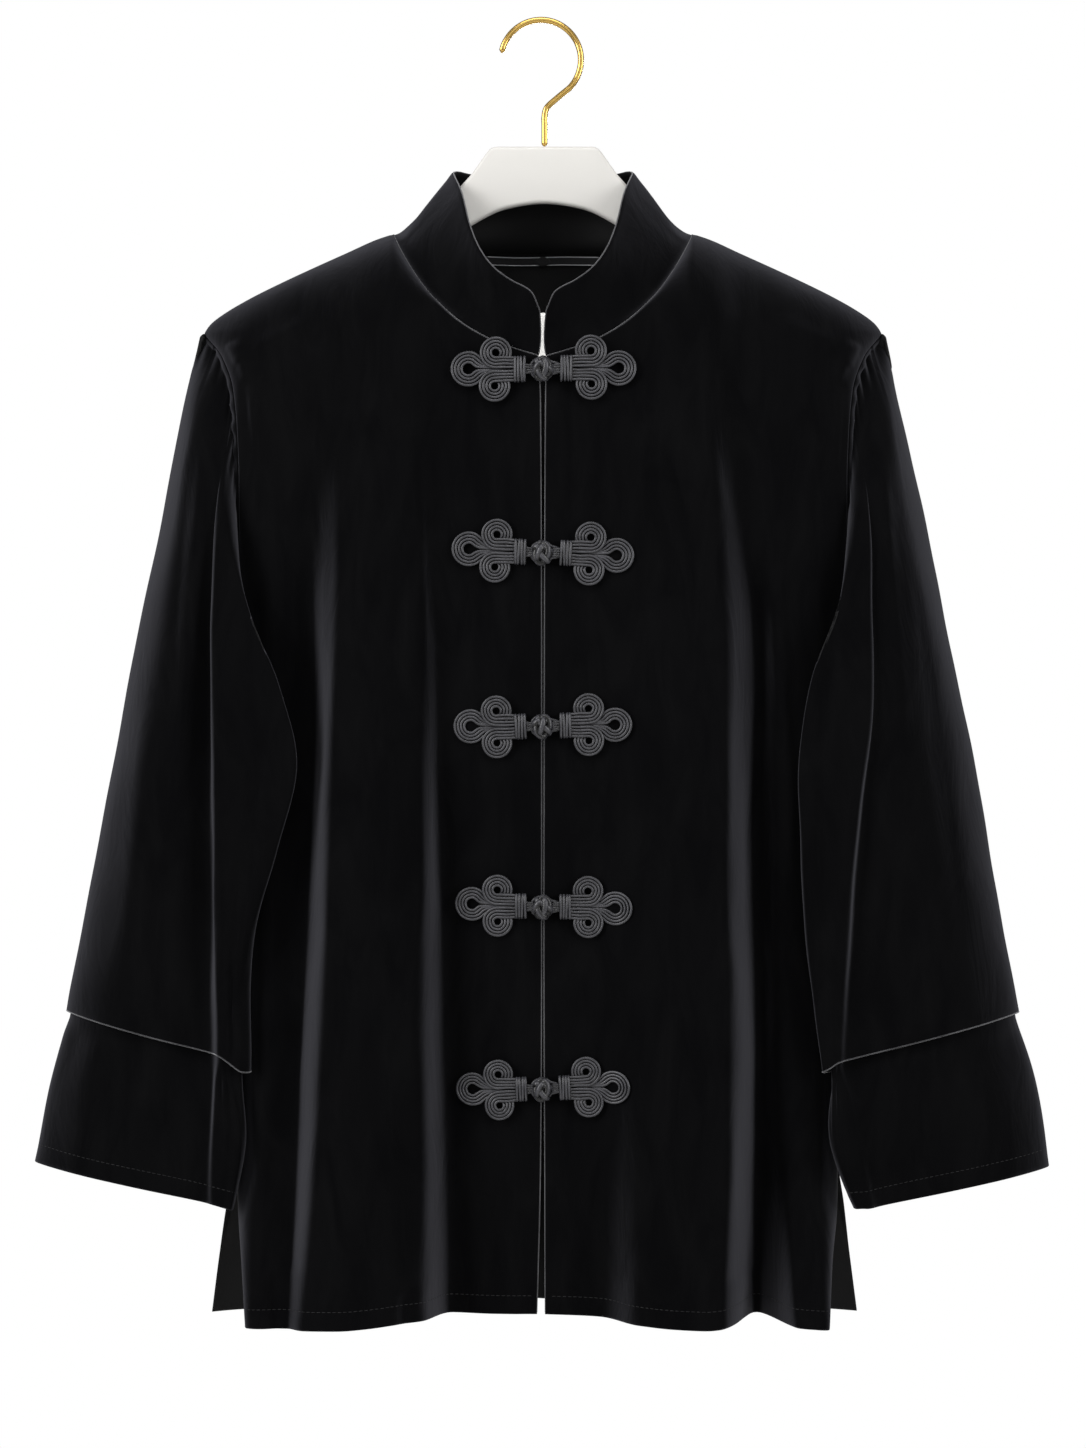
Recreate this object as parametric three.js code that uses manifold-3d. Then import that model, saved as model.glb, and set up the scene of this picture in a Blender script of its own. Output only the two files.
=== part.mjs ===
// A velvet Tang jacket on a flat hanger, in millimetres, +Z up, its front facing -Y.
// The origin is the underside of the hook's top, where a rail carries the hanger.
// "left" and "right" are as seen from the front: left is -X.
import * as THREE from 'three';
import { mergeVertices } from 'three/addons/utils/BufferGeometryUtils.js';
import Module from 'manifold-3d';

const wasm = await Module();
wasm.setup();

// ---- driving dimensions ------------------------------------------------------------------
const CLOTH = 1.6; // velvet, its interlining and lining, as one wall
const SEAM_GAP = 0.3; // between two pieces that are sewn together
const UNDERARM_Z = -388;
const SLIT_Z = -735; // top of the slit in each side seam
const TIP = { x: 219.7, z: -202 }; // shoulder tip, at the top of the armhole
const NECK_X = 97.5; // half width of the neck opening at the shoulder seam
const SHOULDER_ROLL = 75; // height in which a panel turns from the shoulder seam to the chest
const FROG_Z = [-229.3, -346.3, -456.9, -572.3, -689]; // closures down the centre front
const FROG_SCALE = [1.02, 1, 0.985, 0.975, 0.955]; // hand-sewn, so no two are alike
const FROG_TILT = [0.02, -0.03, 0.025, -0.015, 0.035];
const HOOK_WIRE = 4;
const HANGER_TOP_Z = -80.6;
const HANGER_DEPTH = 8;

// Heights at which the fold tables below give a place and a depth.
const LEVELS = [-250, -425, -617, SLIT_Z, -838];

// Shoulder seam: height against distance from the centre.
const SHOULDER = rows(['x', 'z'], [
  [97.5, -138.4], [107.2, -141.6], [127.4, -150.6], [148.8, -160.2], [169.7, -169.9],
  [189.2, -179.6], [206.1, -189.4], [215.5, -196.5], [219.7, -202],
]);

// Neck seam: height and depth against distance from the centre.
const FRONT_NECK = rows(['x', 'z', 'y'], [
  [0, -221.8, -42], [27.4, -213.2, -41], [49.8, -201.4, -38], [72.4, -181.2, -31],
  [85, -163.5, -23], [92, -151, -15.5], [96, -142.6, -8], [97.5, -138.4, 0],
]);
const BACK_NECK = rows(['x', 'z', 'y'], [
  [0, -146.4, 27], [25, -146.4, 25.5], [47.9, -146.1, 20.5], [75, -143.5, 12.5],
  [97.5, -138.4, 0],
]);

// Side edges: armhole, side seam and slit. y is measured forward on the fronts, backward
// on the back.
const SIDE_COLUMNS = ['z', 'x', 'y'];
const FRONT_ARMHOLE = [
  [-202, 219.7, 0], [-218, 207, 12], [-240, 199, 21], [-270, 196, 26], [-300, 195, 27],
  [-330, 195, 24], [-355, 196, 17], [-375, 197, 9], [-388, 198, 0],
];
const BACK_ARMHOLE = [
  [-202, 219.7, 0], [-218, 209, 9], [-240, 203, 17], [-270, 199.5, 22], [-300, 198, 23],
  [-330, 197.5, 20], [-355, 197.5, 14], [-375, 198, 7], [-388, 198, 0],
];
const SIDE_EDGE = {
  frontLeft: rows(SIDE_COLUMNS, FRONT_ARMHOLE.concat([
    [-425, 196.5, 0], [-620, 197, 0], [-735, 198.5, 0], [-769, 196, 15], [-800, 192.5, 32],
    [-838, 189, 46],
  ])),
  frontRight: rows(SIDE_COLUMNS, FRONT_ARMHOLE.concat([
    [-425, 196.5, 0], [-620, 193, 0], [-735, 191, 0], [-769, 189, 15], [-800, 184.5, 34],
    [-840, 181.3, 52],
  ])),
  backLeft: rows(SIDE_COLUMNS, BACK_ARMHOLE.concat([
    [-425, 196.5, 0], [-620, 197, 0], [-735, 198.5, 0], [-769, 206, 12], [-801, 212, 26],
    [-843, 218, 32],
  ])),
  backRight: rows(SIDE_COLUMNS, BACK_ARMHOLE.concat([
    [-425, 196.5, 0], [-620, 193, 0], [-735, 191, 0], [-769, 196, 12], [-801, 201, 26],
    [-844, 207, 32],
  ])),
};

// Folds of each panel, from the centre out: where the fold starts on the neck or shoulder,
// then its distance from the centre (x) and its depth (d) at each of LEVELS.
const FOLD_COLUMNS = ['top', 'x0', 'd0', 'x1', 'd1', 'x2', 'd2', 'x3', 'd3', 'x4', 'd4'];
const LEFT_FOLDS = rows(FOLD_COLUMNS, [
  [2.9, 1.5, 42.5, 0.8, 40, 0.8, 34, 1.5, 29, 3.9, 24],
  [30, 30, 42, 28, 39, 28, 33, 29, 29, 30, 25],
  [60, 62, 39, 63, 35.5, 60, 28, 58, 24, 58, 20],
  [86, 84, 43, 79, 46, 79, 48, 79, 49, 78, 51],
  [109, 106, 41, 105, 49, 107, 55, 107, 60, 109, 66],
  [132, 124, 38.5, 130, 45, 136, 51, 143, 54, 151, 62],
  [160, 150, 32, 149, 26.5, 154, 26.5, 159, 31, 163, 51],
  [188, 177, 29, 172, 28, 174, 31, 176, 31, 178, 52],
]);
const RIGHT_FOLDS = rows(FOLD_COLUMNS, [
  [2, 1.5, 42.5, 0.7, 40, 0.5, 34, 1, 29, 1.3, 24],
  [27, 30, 42, 34, 38, 34, 33, 35, 31, 36, 29],
  [56, 58, 40, 64, 42, 64, 44, 62, 46, 62, 50],
  [86, 80, 42, 90, 47.5, 88, 52, 86, 55, 84, 60],
  [109, 103, 43, 112, 47, 114, 54, 114, 59, 112, 65],
  [136, 126, 36, 137, 26, 138, 24, 137, 22, 138, 21],
  [160, 152, 33, 153, 32, 155, 31.5, 158, 34, 163, 57],
  [188, 176, 29, 174, 29, 172, 29, 173, 29, 174, 56],
]);
const BACK_LEFT_FOLDS = rows(FOLD_COLUMNS, [
  [0, 0, 31, 0, 33, 0, 30, 0, 28, 0, 26],
  [50, 42, 32.5, 38, 36, 36, 36.5, 34, 37, 33, 38],
  [NECK_X, 78, 31, 72, 31, 70, 29, 70, 27, 72, 26],
  [140, 120, 30, 112, 35, 108, 38, 106, 39, 108, 41],
  [165, 152, 28, 146, 28, 144, 26, 145, 25, 148, 27],
  [190, 178, 24, 175, 25, 174, 26, 178, 26, 184, 34],
]);
const BACK_RIGHT_FOLDS = rows(FOLD_COLUMNS, [
  [0, 0, 31, 0, 33, 0, 30, 0, 28, 0, 26],
  [50, 46, 32, 48, 33, 50, 31, 50, 29, 50, 27],
  [NECK_X, 84, 32, 86, 37, 85, 39, 84, 40, 82, 42],
  [140, 118, 29, 120, 29, 122, 27, 122, 25, 122, 25],
  [165, 150, 28, 148, 31, 147, 32, 147, 32, 150, 35],
  [190, 177, 24, 173, 24, 172, 24, 174, 24, 180, 32],
]);
const HEM = {
  frontLeft: rows(['x', 'z'], [[0, -835], [60, -834.5], [92, -835.5], [131, -839], [200, -840]]),
  frontRight: rows(['x', 'z'], [
    [0, -835], [36, -835.8], [62, -838], [102, -839], [138, -834.4], [163, -838.5], [200, -841.8],
  ]),
  back: rows(['x', 'z'], [[0, -833.5], [70, -834], [140, -837], [200, -842], [230, -844]]),
};

// Sleeve and cuff rings, from the shoulder down. The outer edge, the crest of the long fold,
// the inner edge of the panel that the fold throws forward, the layer behind that edge, then
// how deep the valley beside the crest is and how far the tube stands forward and back.
const RING_COLUMNS = [
  'outerX', 'outerZ', 'crestX', 'crestZ', 'crestY', 'innerX', 'innerZ', 'innerY',
  'layerX', 'layerY', 'passX', 'passY', 'valley', 'front', 'back',
];
const SLEEVE = {
  left: rows(RING_COLUMNS, [
    [231, -244, 206, -312, -36, 191, -376, -41, 199, -33, 206, -12, 2, -31, 25],
    [247, -322, 210, -388, -41, 169, -430, -46, 177, -39, 204, -26, 8, -35, 26],
    [262.6, -400, 209, -447, -43, 158, -480, -46, 166, -39, 204, -27, 12, -36, 26],
    [278, -478, 208.5, -512, -43, 171, -536, -43, 178, -37, 204, -25, 12, -36, 26],
    [293, -556, 208, -590, -41, 189, -602, -40, 187, -34, 204, -22, 11, -35, 26],
    [309, -642, 207, -668, -38, 193, -678, -38, 188, -32, 204, -18, 8, -32, 25],
  ]),
  right: rows(RING_COLUMNS, [
    [230, -244, 206, -315, -35, 190, -376, -40, 198, -32, 206, -12, 1.5, -31, 25],
    [247, -322, 207, -388, -40, 172, -425, -46, 180, -38, 204, -26, 3, -35, 26],
    [263, -400, 206, -450, -43, 164, -478, -46, 172, -39, 203, -26, 4, -37, 26],
    [279, -478, 199, -515, -44, 166, -536, -45, 174, -38, 202, -24, 5, -37, 26],
    [292.5, -556, 192, -590, -43, 170, -602, -43, 178, -36, 201, -22, 5, -36, 26],
    [308.8, -643, 189, -672, -39, 179, -678, -40, 185, -33, 201, -18, 4, -33, 25],
  ]),
};
const CUFF = {
  left: rows(RING_COLUMNS, [
    [320, -690, 209, -716, -35, 193, -722, -36, 192, -30, 205, -16, 5, -29, 23],
    [329.6, -740, 211, -764, -31, 200, -767, -32, 201, -25, 208, -12, 4, -26, 21],
  ]),
  right: rows(RING_COLUMNS, [
    [320, -691, 197, -716, -38, 185, -721, -38, 187, -31, 202, -16, 3, -30, 23],
    [328.2, -743, 210, -766, -32, 201, -766, -33, 201, -26, 208, -12, 3, -27, 21],
  ]),
};
const CUFF_TUCK = 8; // length of cuff hidden inside the sleeve hem

// Top edge of the stand collar against the place along the neck seam: 0 is the centre front,
// 1 the shoulder seam, 2 the centre back.
const COLLAR_TOP = rows(['along', 'x', 'y', 'z'], [
  [0, 1.9, -46, -192], [0.1, 7.5, -46, -180.5], [0.28, 21, -45, -172.5], [0.42, 30.6, -42, -165],
  [0.58, 40.3, -35, -151.5], [0.72, 46.9, -26, -134.5], [0.86, 52.2, -14, -112.5],
  [0.93, 55, -7, -105.2], [0.99, 57.6, -1.5, -99.4], [1.04, 58, 2.5, -96.9],
  [1.12, 54.6, 8, -95.6], [1.25, 48, 14, -96.2], [1.6, 26, 21.5, -97.5], [2, 0, 24, -98],
]);
const COLLAR_BEND = { up: 9, out: 1.5 }; // the band leaves the seam towards this point

// ---- tables and vectors ------------------------------------------------------------------
function rows(columns, table) {
  return table.map((row) => Object.fromEntries(columns.map((name, i) => [name, row[i]])));
}

// Smooth value of one column of a table at a place along its key column, without overshoot.
function read(table, key, at, column) {
  const rising = table[table.length - 1][key] > table[0][key] ? 1 : -1;
  const k = table.map((row) => row[key] * rising);
  const v = table.map((row) => row[column]);
  const t = Math.min(Math.max(at * rising, k[0]), k[k.length - 1]);
  let i = 0;
  while (i < k.length - 2 && t > k[i + 1]) i += 1;
  const step = (n) => (v[n + 1] - v[n]) / (k[n + 1] - k[n]);
  const slope = (n) => {
    if (n === 0) return step(0);
    if (n === k.length - 1) return step(n - 1);
    const product = step(n - 1) * step(n);
    return product <= 0 ? 0 : (2 * product) / (step(n - 1) + step(n));
  };
  const h = k[i + 1] - k[i];
  const s = (t - k[i]) / h;
  return v[i] * (1 + 2 * s) * (1 - s) ** 2 + h * slope(i) * s * (1 - s) ** 2
    + v[i + 1] * s ** 2 * (3 - 2 * s) - h * slope(i + 1) * s ** 2 * (1 - s);
}

const vec = (x, y, z) => new THREE.Vector3(x, y, z);
const mix = (a, b, t) => a + (b - a) * t;
const range = (count) => Array.from({ length: count }, (_, i) => i);

// ---- cloth walls -------------------------------------------------------------------------
// Normals of a grid of points, from the differences to each point's neighbours.
function gridNormals(grid, closed, outward) {
  const last = grid.length - 1;
  return grid.map((row, i) => row.map((_, j) => {
    const n = row.length;
    const ahead = closed ? (j + 1) % n : Math.min(j + 1, n - 1);
    const behind = closed ? (j + n - 1) % n : Math.max(j - 1, 0);
    const across = row[ahead].clone().sub(row[behind]);
    const down = grid[Math.min(i + 1, last)][j].clone().sub(grid[Math.max(i - 1, 0)][j]);
    return across.cross(down).multiplyScalar(outward).normalize();
  }));
}

// A closed wall of even thickness on a grid of mid-surface points.
function wall(grid, normals, closed, thickness = CLOTH) {
  const columns = grid[0].length;
  const side = grid.length * columns;
  const positions = [];
  for (const sign of [1, -1]) {
    grid.forEach((row, i) => row.forEach((p, j) => {
      const q = p.clone().addScaledVector(normals[i][j], (sign * thickness) / 2);
      positions.push(q.x, q.y, q.z);
    }));
  }
  const at = (i, j, face) => face * side + i * columns + (j % columns);
  const faces = [];
  const quad = (a, b, c, d) => faces.push(a, b, c, a, c, d);
  const spans = closed ? columns : columns - 1;
  for (let i = 0; i < grid.length - 1; i += 1) {
    for (let j = 0; j < spans; j += 1) {
      quad(at(i, j, 0), at(i, j + 1, 0), at(i + 1, j + 1, 0), at(i + 1, j, 0));
      quad(at(i, j, 1), at(i + 1, j, 1), at(i + 1, j + 1, 1), at(i, j + 1, 1));
    }
  }
  const end = grid.length - 1;
  for (let j = 0; j < spans; j += 1) {
    quad(at(0, j, 0), at(0, j, 1), at(0, j + 1, 1), at(0, j + 1, 0));
    quad(at(end, j, 0), at(end, j + 1, 0), at(end, j + 1, 1), at(end, j, 1));
  }
  for (let i = 0; i < end && !closed; i += 1) {
    quad(at(i, 0, 0), at(i + 1, 0, 0), at(i + 1, 0, 1), at(i, 0, 1));
    quad(at(i, spans, 0), at(i, spans, 1), at(i + 1, spans, 1), at(i + 1, spans, 0));
  }
  return solid(positions, faces);
}

// A geometry from points and triangles, turned so that its faces point out.
function solid(positions, faces) {
  let volume = 0;
  const point = (i) => vec(positions[3 * i], positions[3 * i + 1], positions[3 * i + 2]);
  for (let f = 0; f < faces.length; f += 3) {
    volume += point(faces[f]).cross(point(faces[f + 1])).dot(point(faces[f + 2]));
  }
  if (volume < 0) faces.reverse();
  const geometry = new THREE.BufferGeometry();
  geometry.setAttribute('position', new THREE.Float32BufferAttribute(positions, 3));
  geometry.setIndex(faces);
  return geometry;
}

// ---- body panels -------------------------------------------------------------------------
// Table rows of the folds, read between two of them as well: place 2.5 is half way from the
// third fold to the fourth.
function foldAt(folds, place) {
  const numbered = folds.map((row, i) => ({ ...row, place: i }));
  const column = (name) => read(numbered, 'place', place, name);
  const shape = LEVELS.map((z, i) => ({ z, x: column(`x${i}`), d: column(`d${i}`) }));
  const before = Math.min(Math.floor(place), folds.length - 2);
  return { top: mix(folds[before].top, folds[before + 1].top, place - before), shape };
}

// One vertical line of a panel. Past the last fold it turns back to the side edge on a
// quarter of an ellipse: turn is 0 at that fold and a right angle at the edge.
function panelLine(panel, place) {
  const lastFold = panel.folds.length - 1;
  const turn = Math.max(0, place - lastFold) * (Math.PI / 2);
  const fold = foldAt(panel.folds, Math.min(place, lastFold));
  const topX = mix(fold.top, TIP.x, Math.sin(turn));
  const onNeck = topX <= NECK_X;
  const topZ = onNeck ? read(panel.neck, 'x', topX, 'z') : read(SHOULDER, 'x', topX, 'z');
  const topDepth = onNeck ? Math.abs(read(panel.neck, 'x', topX, 'y')) : 0;
  const hang = [{ z: topZ, x: fold.top }, ...fold.shape];
  return (z) => {
    const roll = Math.min(Math.max((topZ - z) / SHOULDER_ROLL, 0), 1);
    const deep = read(fold.shape, 'z', z, 'd');
    const foldDepth = mix(topDepth, deep, Math.sqrt(roll * (2 - roll)));
    const edgeX = z >= topZ ? TIP.x : read(panel.edge, 'z', z, 'x');
    const edgeDepth = read(panel.edge, 'z', z, 'y');
    const x = mix(read(hang, 'z', z, 'x'), edgeX, Math.sin(turn));
    const depth = mix(edgeDepth, foldDepth, Math.cos(turn));
    return { topZ, x: z >= topZ ? topX : x, depth: z >= topZ ? topDepth : depth };
  };
}

// Rows of one panel line: to the underarm, to the slit and to the hem.
function linePoints(panel, place) {
  const line = panelLine(panel, place);
  const { topZ } = line(0);
  const hemZ = read(panel.hem, 'x', line(LEVELS[LEVELS.length - 1]).x, 'z');
  const heights = [
    ...range(panel.rows[0]).map((k) => (
      mix(topZ, UNDERARM_Z, (k / panel.rows[0]) ** panel.crowding))),
    ...range(panel.rows[1]).map((k) => mix(UNDERARM_Z, SLIT_Z, k / panel.rows[1])),
    ...range(panel.rows[2] + 1).map((k) => mix(SLIT_Z, hemZ, k / panel.rows[2])),
  ];
  return heights.map((z) => {
    const { x, depth } = line(z);
    return vec(panel.side * x, panel.facing * Math.max(depth, SEAM_GAP / 2), z);
  });
}

// Places along the folds at which a panel has a line.
function placesOf(panel) {
  const lastFold = panel.folds.length - 1;
  const across = range(lastFold * panel.linesPerFold).map((i) => i / panel.linesPerFold);
  const turned = range(panel.turnLines + 1).map((i) => lastFold + i / panel.turnLines);
  return [...across, ...turned];
}

const transpose = (lines) => lines[0].map((_, i) => lines.map((line) => line[i]));

// Along a seam in the plane y = 0 the wall's rim lies in that plane too.
function squareSeams(grid, normals) {
  grid.forEach((row, i) => row.forEach((p, j) => {
    if (Math.abs(p.y) < SEAM_GAP) normals[i][j].setY(0).normalize();
  }));
}

const FRONT_ROWS = [16, 7, 4]; // to the underarm, to the slit, to the hem
const BACK_ROWS = [8, 7, 3];
const CROWDING = { front: 1.5, back: 1.9 }; // rows lie closer near the shoulder seam
const PANELS = {
  frontLeft: {
    folds: LEFT_FOLDS, edge: SIDE_EDGE.frontLeft, neck: FRONT_NECK, hem: HEM.frontLeft,
    side: -1, facing: -1, rows: FRONT_ROWS, crowding: CROWDING.front,
    linesPerFold: 2, turnLines: 3,
  },
  frontRight: {
    folds: RIGHT_FOLDS, edge: SIDE_EDGE.frontRight, neck: FRONT_NECK, hem: HEM.frontRight,
    side: 1, facing: -1, rows: FRONT_ROWS, crowding: CROWDING.front,
    linesPerFold: 2, turnLines: 3,
  },
  backLeft: {
    folds: BACK_LEFT_FOLDS, edge: SIDE_EDGE.backLeft, neck: BACK_NECK, hem: HEM.back,
    side: -1, facing: 1, rows: BACK_ROWS, crowding: CROWDING.back,
    linesPerFold: 2, turnLines: 3,
  },
  backRight: {
    folds: BACK_RIGHT_FOLDS, edge: SIDE_EDGE.backRight, neck: BACK_NECK, hem: HEM.back,
    side: 1, facing: 1, rows: BACK_ROWS, crowding: CROWDING.back,
    linesPerFold: 2, turnLines: 3,
  },
};

function frontGrid(panel) {
  return transpose(placesOf(panel).map((place) => linePoints(panel, place)));
}

function backGrid() {
  const left = placesOf(PANELS.backLeft).map((place) => linePoints(PANELS.backLeft, place));
  const right = placesOf(PANELS.backRight).map((place) => linePoints(PANELS.backRight, place));
  return transpose([...left.reverse(), ...right.slice(1)]);
}

function panelWall(grid, outward) {
  const normals = gridNormals(grid, false, outward);
  squareSeams(grid, normals);
  return { grid, normals, geometry: wall(grid, normals, false) };
}

const frontLeft = panelWall(frontGrid(PANELS.frontLeft), 1);
const frontRight = panelWall(frontGrid(PANELS.frontRight), -1);
const back = panelWall(backGrid(), 1);

// ---- edges that other pieces are sewn to ---------------------------------------------------
// Points and normals of one panel column or row, as a list of { p, n }.
const columnOf = (panel, j, count) => range(count).map((i) => (
  { p: panel.grid[i][j].clone(), n: panel.normals[i][j].clone() }));
const rowOf = (panel, i, from, to) => range(to - from + 1).map((k) => (
  { p: panel.grid[i][from + k].clone(), n: panel.normals[i][from + k].clone() }));

// One point between two that face each other across a seam.
function join(a, b) {
  return { p: a.p.clone().lerp(b.p, 0.5), n: a.n.clone().add(b.n).normalize() };
}

// The armhole as a ring: shoulder tip, front edge, underarm, back edge.
function armhole(side) {
  const front = side < 0 ? frontLeft : frontRight;
  const frontEdge = columnOf(front, front.grid[0].length - 1, FRONT_ROWS[0] + 1);
  const backColumn = side < 0 ? 0 : back.grid[0].length - 1;
  const backEdge = columnOf(back, backColumn, BACK_ROWS[0] + 1);
  const tip = join(frontEdge[0], backEdge[0]);
  const underarm = join(frontEdge[FRONT_ROWS[0]], backEdge[BACK_ROWS[0]]);
  return [tip, ...frontEdge.slice(1, -1), underarm, ...backEdge.slice(1, -1).reverse()];
}

// Directions that lead off a sewn edge, in the surface and square to the edge.
function leads(edge, closed, sign) {
  return edge.map((_, k) => {
    const n = edge.length;
    const ahead = closed ? edge[(k + 1) % n] : edge[Math.min(k + 1, n - 1)];
    const behind = closed ? edge[(k + n - 1) % n] : edge[Math.max(k - 1, 0)];
    const along = ahead.p.clone().sub(edge[k].p).normalize()
      .add(edge[k].p.clone().sub(behind.p).normalize());
    return along.cross(edge[k].n).multiplyScalar(sign).normalize();
  });
}

// ---- sleeves and cuffs -------------------------------------------------------------------
// Where the corners of a section lie: as shares of the way from the outer edge to the crest on
// the front and to BACK_X behind, and as shares of the full depth there.
const FRONT_CORNERS = { shoulder: 0.22, flank: 0.58, valley: 0.91, shoulderDepth: 0.68 };
const BACK_CORNERS = { near: 0.24, far: 0.66, nearDepth: 0.72 };
const BACK_X = 214; // where the back of the tube stands furthest out
const FOLD_SWELL = { share: 0.55, out: 0.5 }; // the fold's face bulges between its two edges
const PASS = { height: 0.6, width: 7, y: 3 }; // where the cloth turns from the fold to the back

// Twelve corners of a sleeve section, from the outer edge round the front.
function ringCorners(row, side) {
  const between = (endX, endZ, t) => [mix(row.outerX, endX, t), mix(row.outerZ, endZ, t)];
  const ahead = (t) => between(row.crestX, row.crestZ, t);
  const behind = (t) => between(BACK_X, row.crestZ, t);
  const corner = ([x, z], y) => vec(side * x, y, z);
  const low = mix(row.crestZ, row.innerZ, PASS.height);
  const swellX = mix(row.crestX, row.innerX, FOLD_SWELL.share);
  const swellZ = mix(row.crestZ, row.innerZ, FOLD_SWELL.share);
  return [
    corner([row.outerX, row.outerZ], 0),
    corner(ahead(FRONT_CORNERS.shoulder), row.front * FRONT_CORNERS.shoulderDepth),
    corner(ahead(FRONT_CORNERS.flank), row.front),
    corner(ahead(FRONT_CORNERS.valley), row.crestY + row.valley),
    corner([row.crestX, row.crestZ], row.crestY),
    corner([swellX, swellZ], (row.crestY + row.innerY) / 2 - FOLD_SWELL.out),
    corner([row.innerX, row.innerZ], row.innerY),
    corner([row.layerX, row.innerZ], row.layerY),
    corner([row.passX, low], row.passY),
    corner([row.passX + PASS.width, low], PASS.y),
    corner(behind(BACK_CORNERS.far), row.back),
    corner(behind(BACK_CORNERS.near), row.back * BACK_CORNERS.nearDepth),
  ];
}

const CORNERS = 12;
const CORNER_STEPS = 2; // points from one corner of a section to the next

function ring(row, side) {
  const curve = new THREE.CatmullRomCurve3(ringCorners(row, side), true, 'catmullrom', 0.5);
  const count = CORNERS * CORNER_STEPS;
  return range(count).map((k) => curve.getPoint(k / count));
}

// Rings between the given ones, each point on a smooth line down the sleeve.
function loft(rings, steps) {
  const lines = rings[0].map((_, k) => {
    const curve = new THREE.CatmullRomCurve3(rings.map((r) => r[k]), false, 'centripetal');
    const count = (rings.length - 1) * steps;
    return range(count + 1).map((i) => curve.getPoint(i / count));
  });
  return transpose(lines);
}

const SLEEVE_STEPS = 2; // rings from one section to the next
const SLEEVE_GAP = 0.45; // the armhole curves, so its seam needs a little more room
const SLEEVE_HEAD = { out: 4, up: 3.2 }; // the roll of cloth just past the armhole seam

function sleeve(side, table) {
  const edge = armhole(side);
  const lead = leads(edge, true, -side);
  const start = edge.map(({ p }, k) => p.clone().addScaledVector(lead[k], SLEEVE_GAP));
  const head = edge.map(({ p, n }, k) => p.clone().addScaledVector(lead[k], SLEEVE_HEAD.out)
    .addScaledVector(n, SLEEVE_HEAD.up));
  const rest = loft([head, ...table.map((row) => ring(row, side))], SLEEVE_STEPS);
  const grid = [start, ...rest];
  const normals = gridNormals(grid, true, side);
  edge.forEach(({ n }, k) => normals[0][k].copy(n));
  return { grid, normals, geometry: wall(grid, normals, true) };
}

// The section of a cuff under the sleeve hem, or lift above it: the sleeve's own section, in by
// the cuff's wall and a little room. The thin end of the fold is drawn back more than the rest.
const CUFF_INSET = {
  outerX: -3, crestY: 3.5, innerX: 6, innerY: 3.2, layerX: 5.5, layerY: -0.6,
  passX: 4.4, passY: -0.8, front: 3, back: -3,
};

function tuckedSection(sleeveTable, lift) {
  const [above, hem] = sleeveTable.slice(-2);
  const share = lift / Math.abs(above.outerZ - hem.outerZ);
  return Object.fromEntries(RING_COLUMNS.map((name) => (
    [name, mix(hem[name], above[name], share) + (CUFF_INSET[name] ?? 0)])));
}

// The cuff starts inside the sleeve hem and comes out from under it.
function cuff(side, table, sleeveTable) {
  const tucked = (lift) => ring(tuckedSection(sleeveTable, lift), side);
  const shown = [tucked(-CUFF_TUCK / 2), ...table.map((row) => ring(row, side))];
  const rings = [tucked(CUFF_TUCK), tucked(0), ...loft(shown, SLEEVE_STEPS)];
  const normals = gridNormals(rings, true, side);
  return { grid: rings, normals, geometry: wall(rings, normals, true) };
}

const sleeveLeft = sleeve(-1, SLEEVE.left);
const sleeveRight = sleeve(1, SLEEVE.right);
const cuffLeft = cuff(-1, CUFF.left, SLEEVE.left);
const cuffRight = cuff(1, CUFF.right, SLEEVE.right);

// ---- stand collar ------------------------------------------------------------------------
const COLLAR_ROWS = 4;

const SAME_PLACE = 0.05; // points closer than this are the same

// The neck seam from the left front end, round the back, to the right front end.
function neckSeam() {
  const isOnNeck = (p) => Math.abs(p.x) <= NECK_X + SAME_PLACE;
  const onNeck = (panel) => panel.grid[0].filter(isOnNeck).length;
  const left = rowOf(frontLeft, 0, 0, onNeck(frontLeft) - 1);
  const right = rowOf(frontRight, 0, 0, onNeck(frontRight) - 1);
  const skip = (back.grid[0].length - onNeck(back)) / 2;
  const behind = rowOf(back, 0, skip, back.grid[0].length - 1 - skip);
  return [
    ...left.slice(0, -1), join(left[left.length - 1], behind[0]), ...behind.slice(1, -1),
    join(right[right.length - 1], behind[behind.length - 1]), ...right.slice(0, -1).reverse(),
  ];
}

// Place of each seam point: 0 and 4 at the front ends, 1 and 3 at the shoulder seams.
function placeOnNeck(edge, k) {
  const seamLength = (from, to) => range(to - from)
    .reduce((sum, i) => sum + edge[from + i].p.distanceTo(edge[from + i + 1].p), 0);
  const shoulder = edge.map(({ p }) => Math.abs(p.x)).reduce((best, x, i, all) => (
    x > all[best] && i < all.length / 2 ? i : best), 0);
  const far = edge.length - 1 - shoulder;
  if (k <= shoulder) return seamLength(0, k) / seamLength(0, shoulder);
  if (k >= far) return 3 + seamLength(far, k) / seamLength(far, edge.length - 1);
  return 1 + (2 * seamLength(shoulder, k)) / seamLength(shoulder, far);
}

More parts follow.
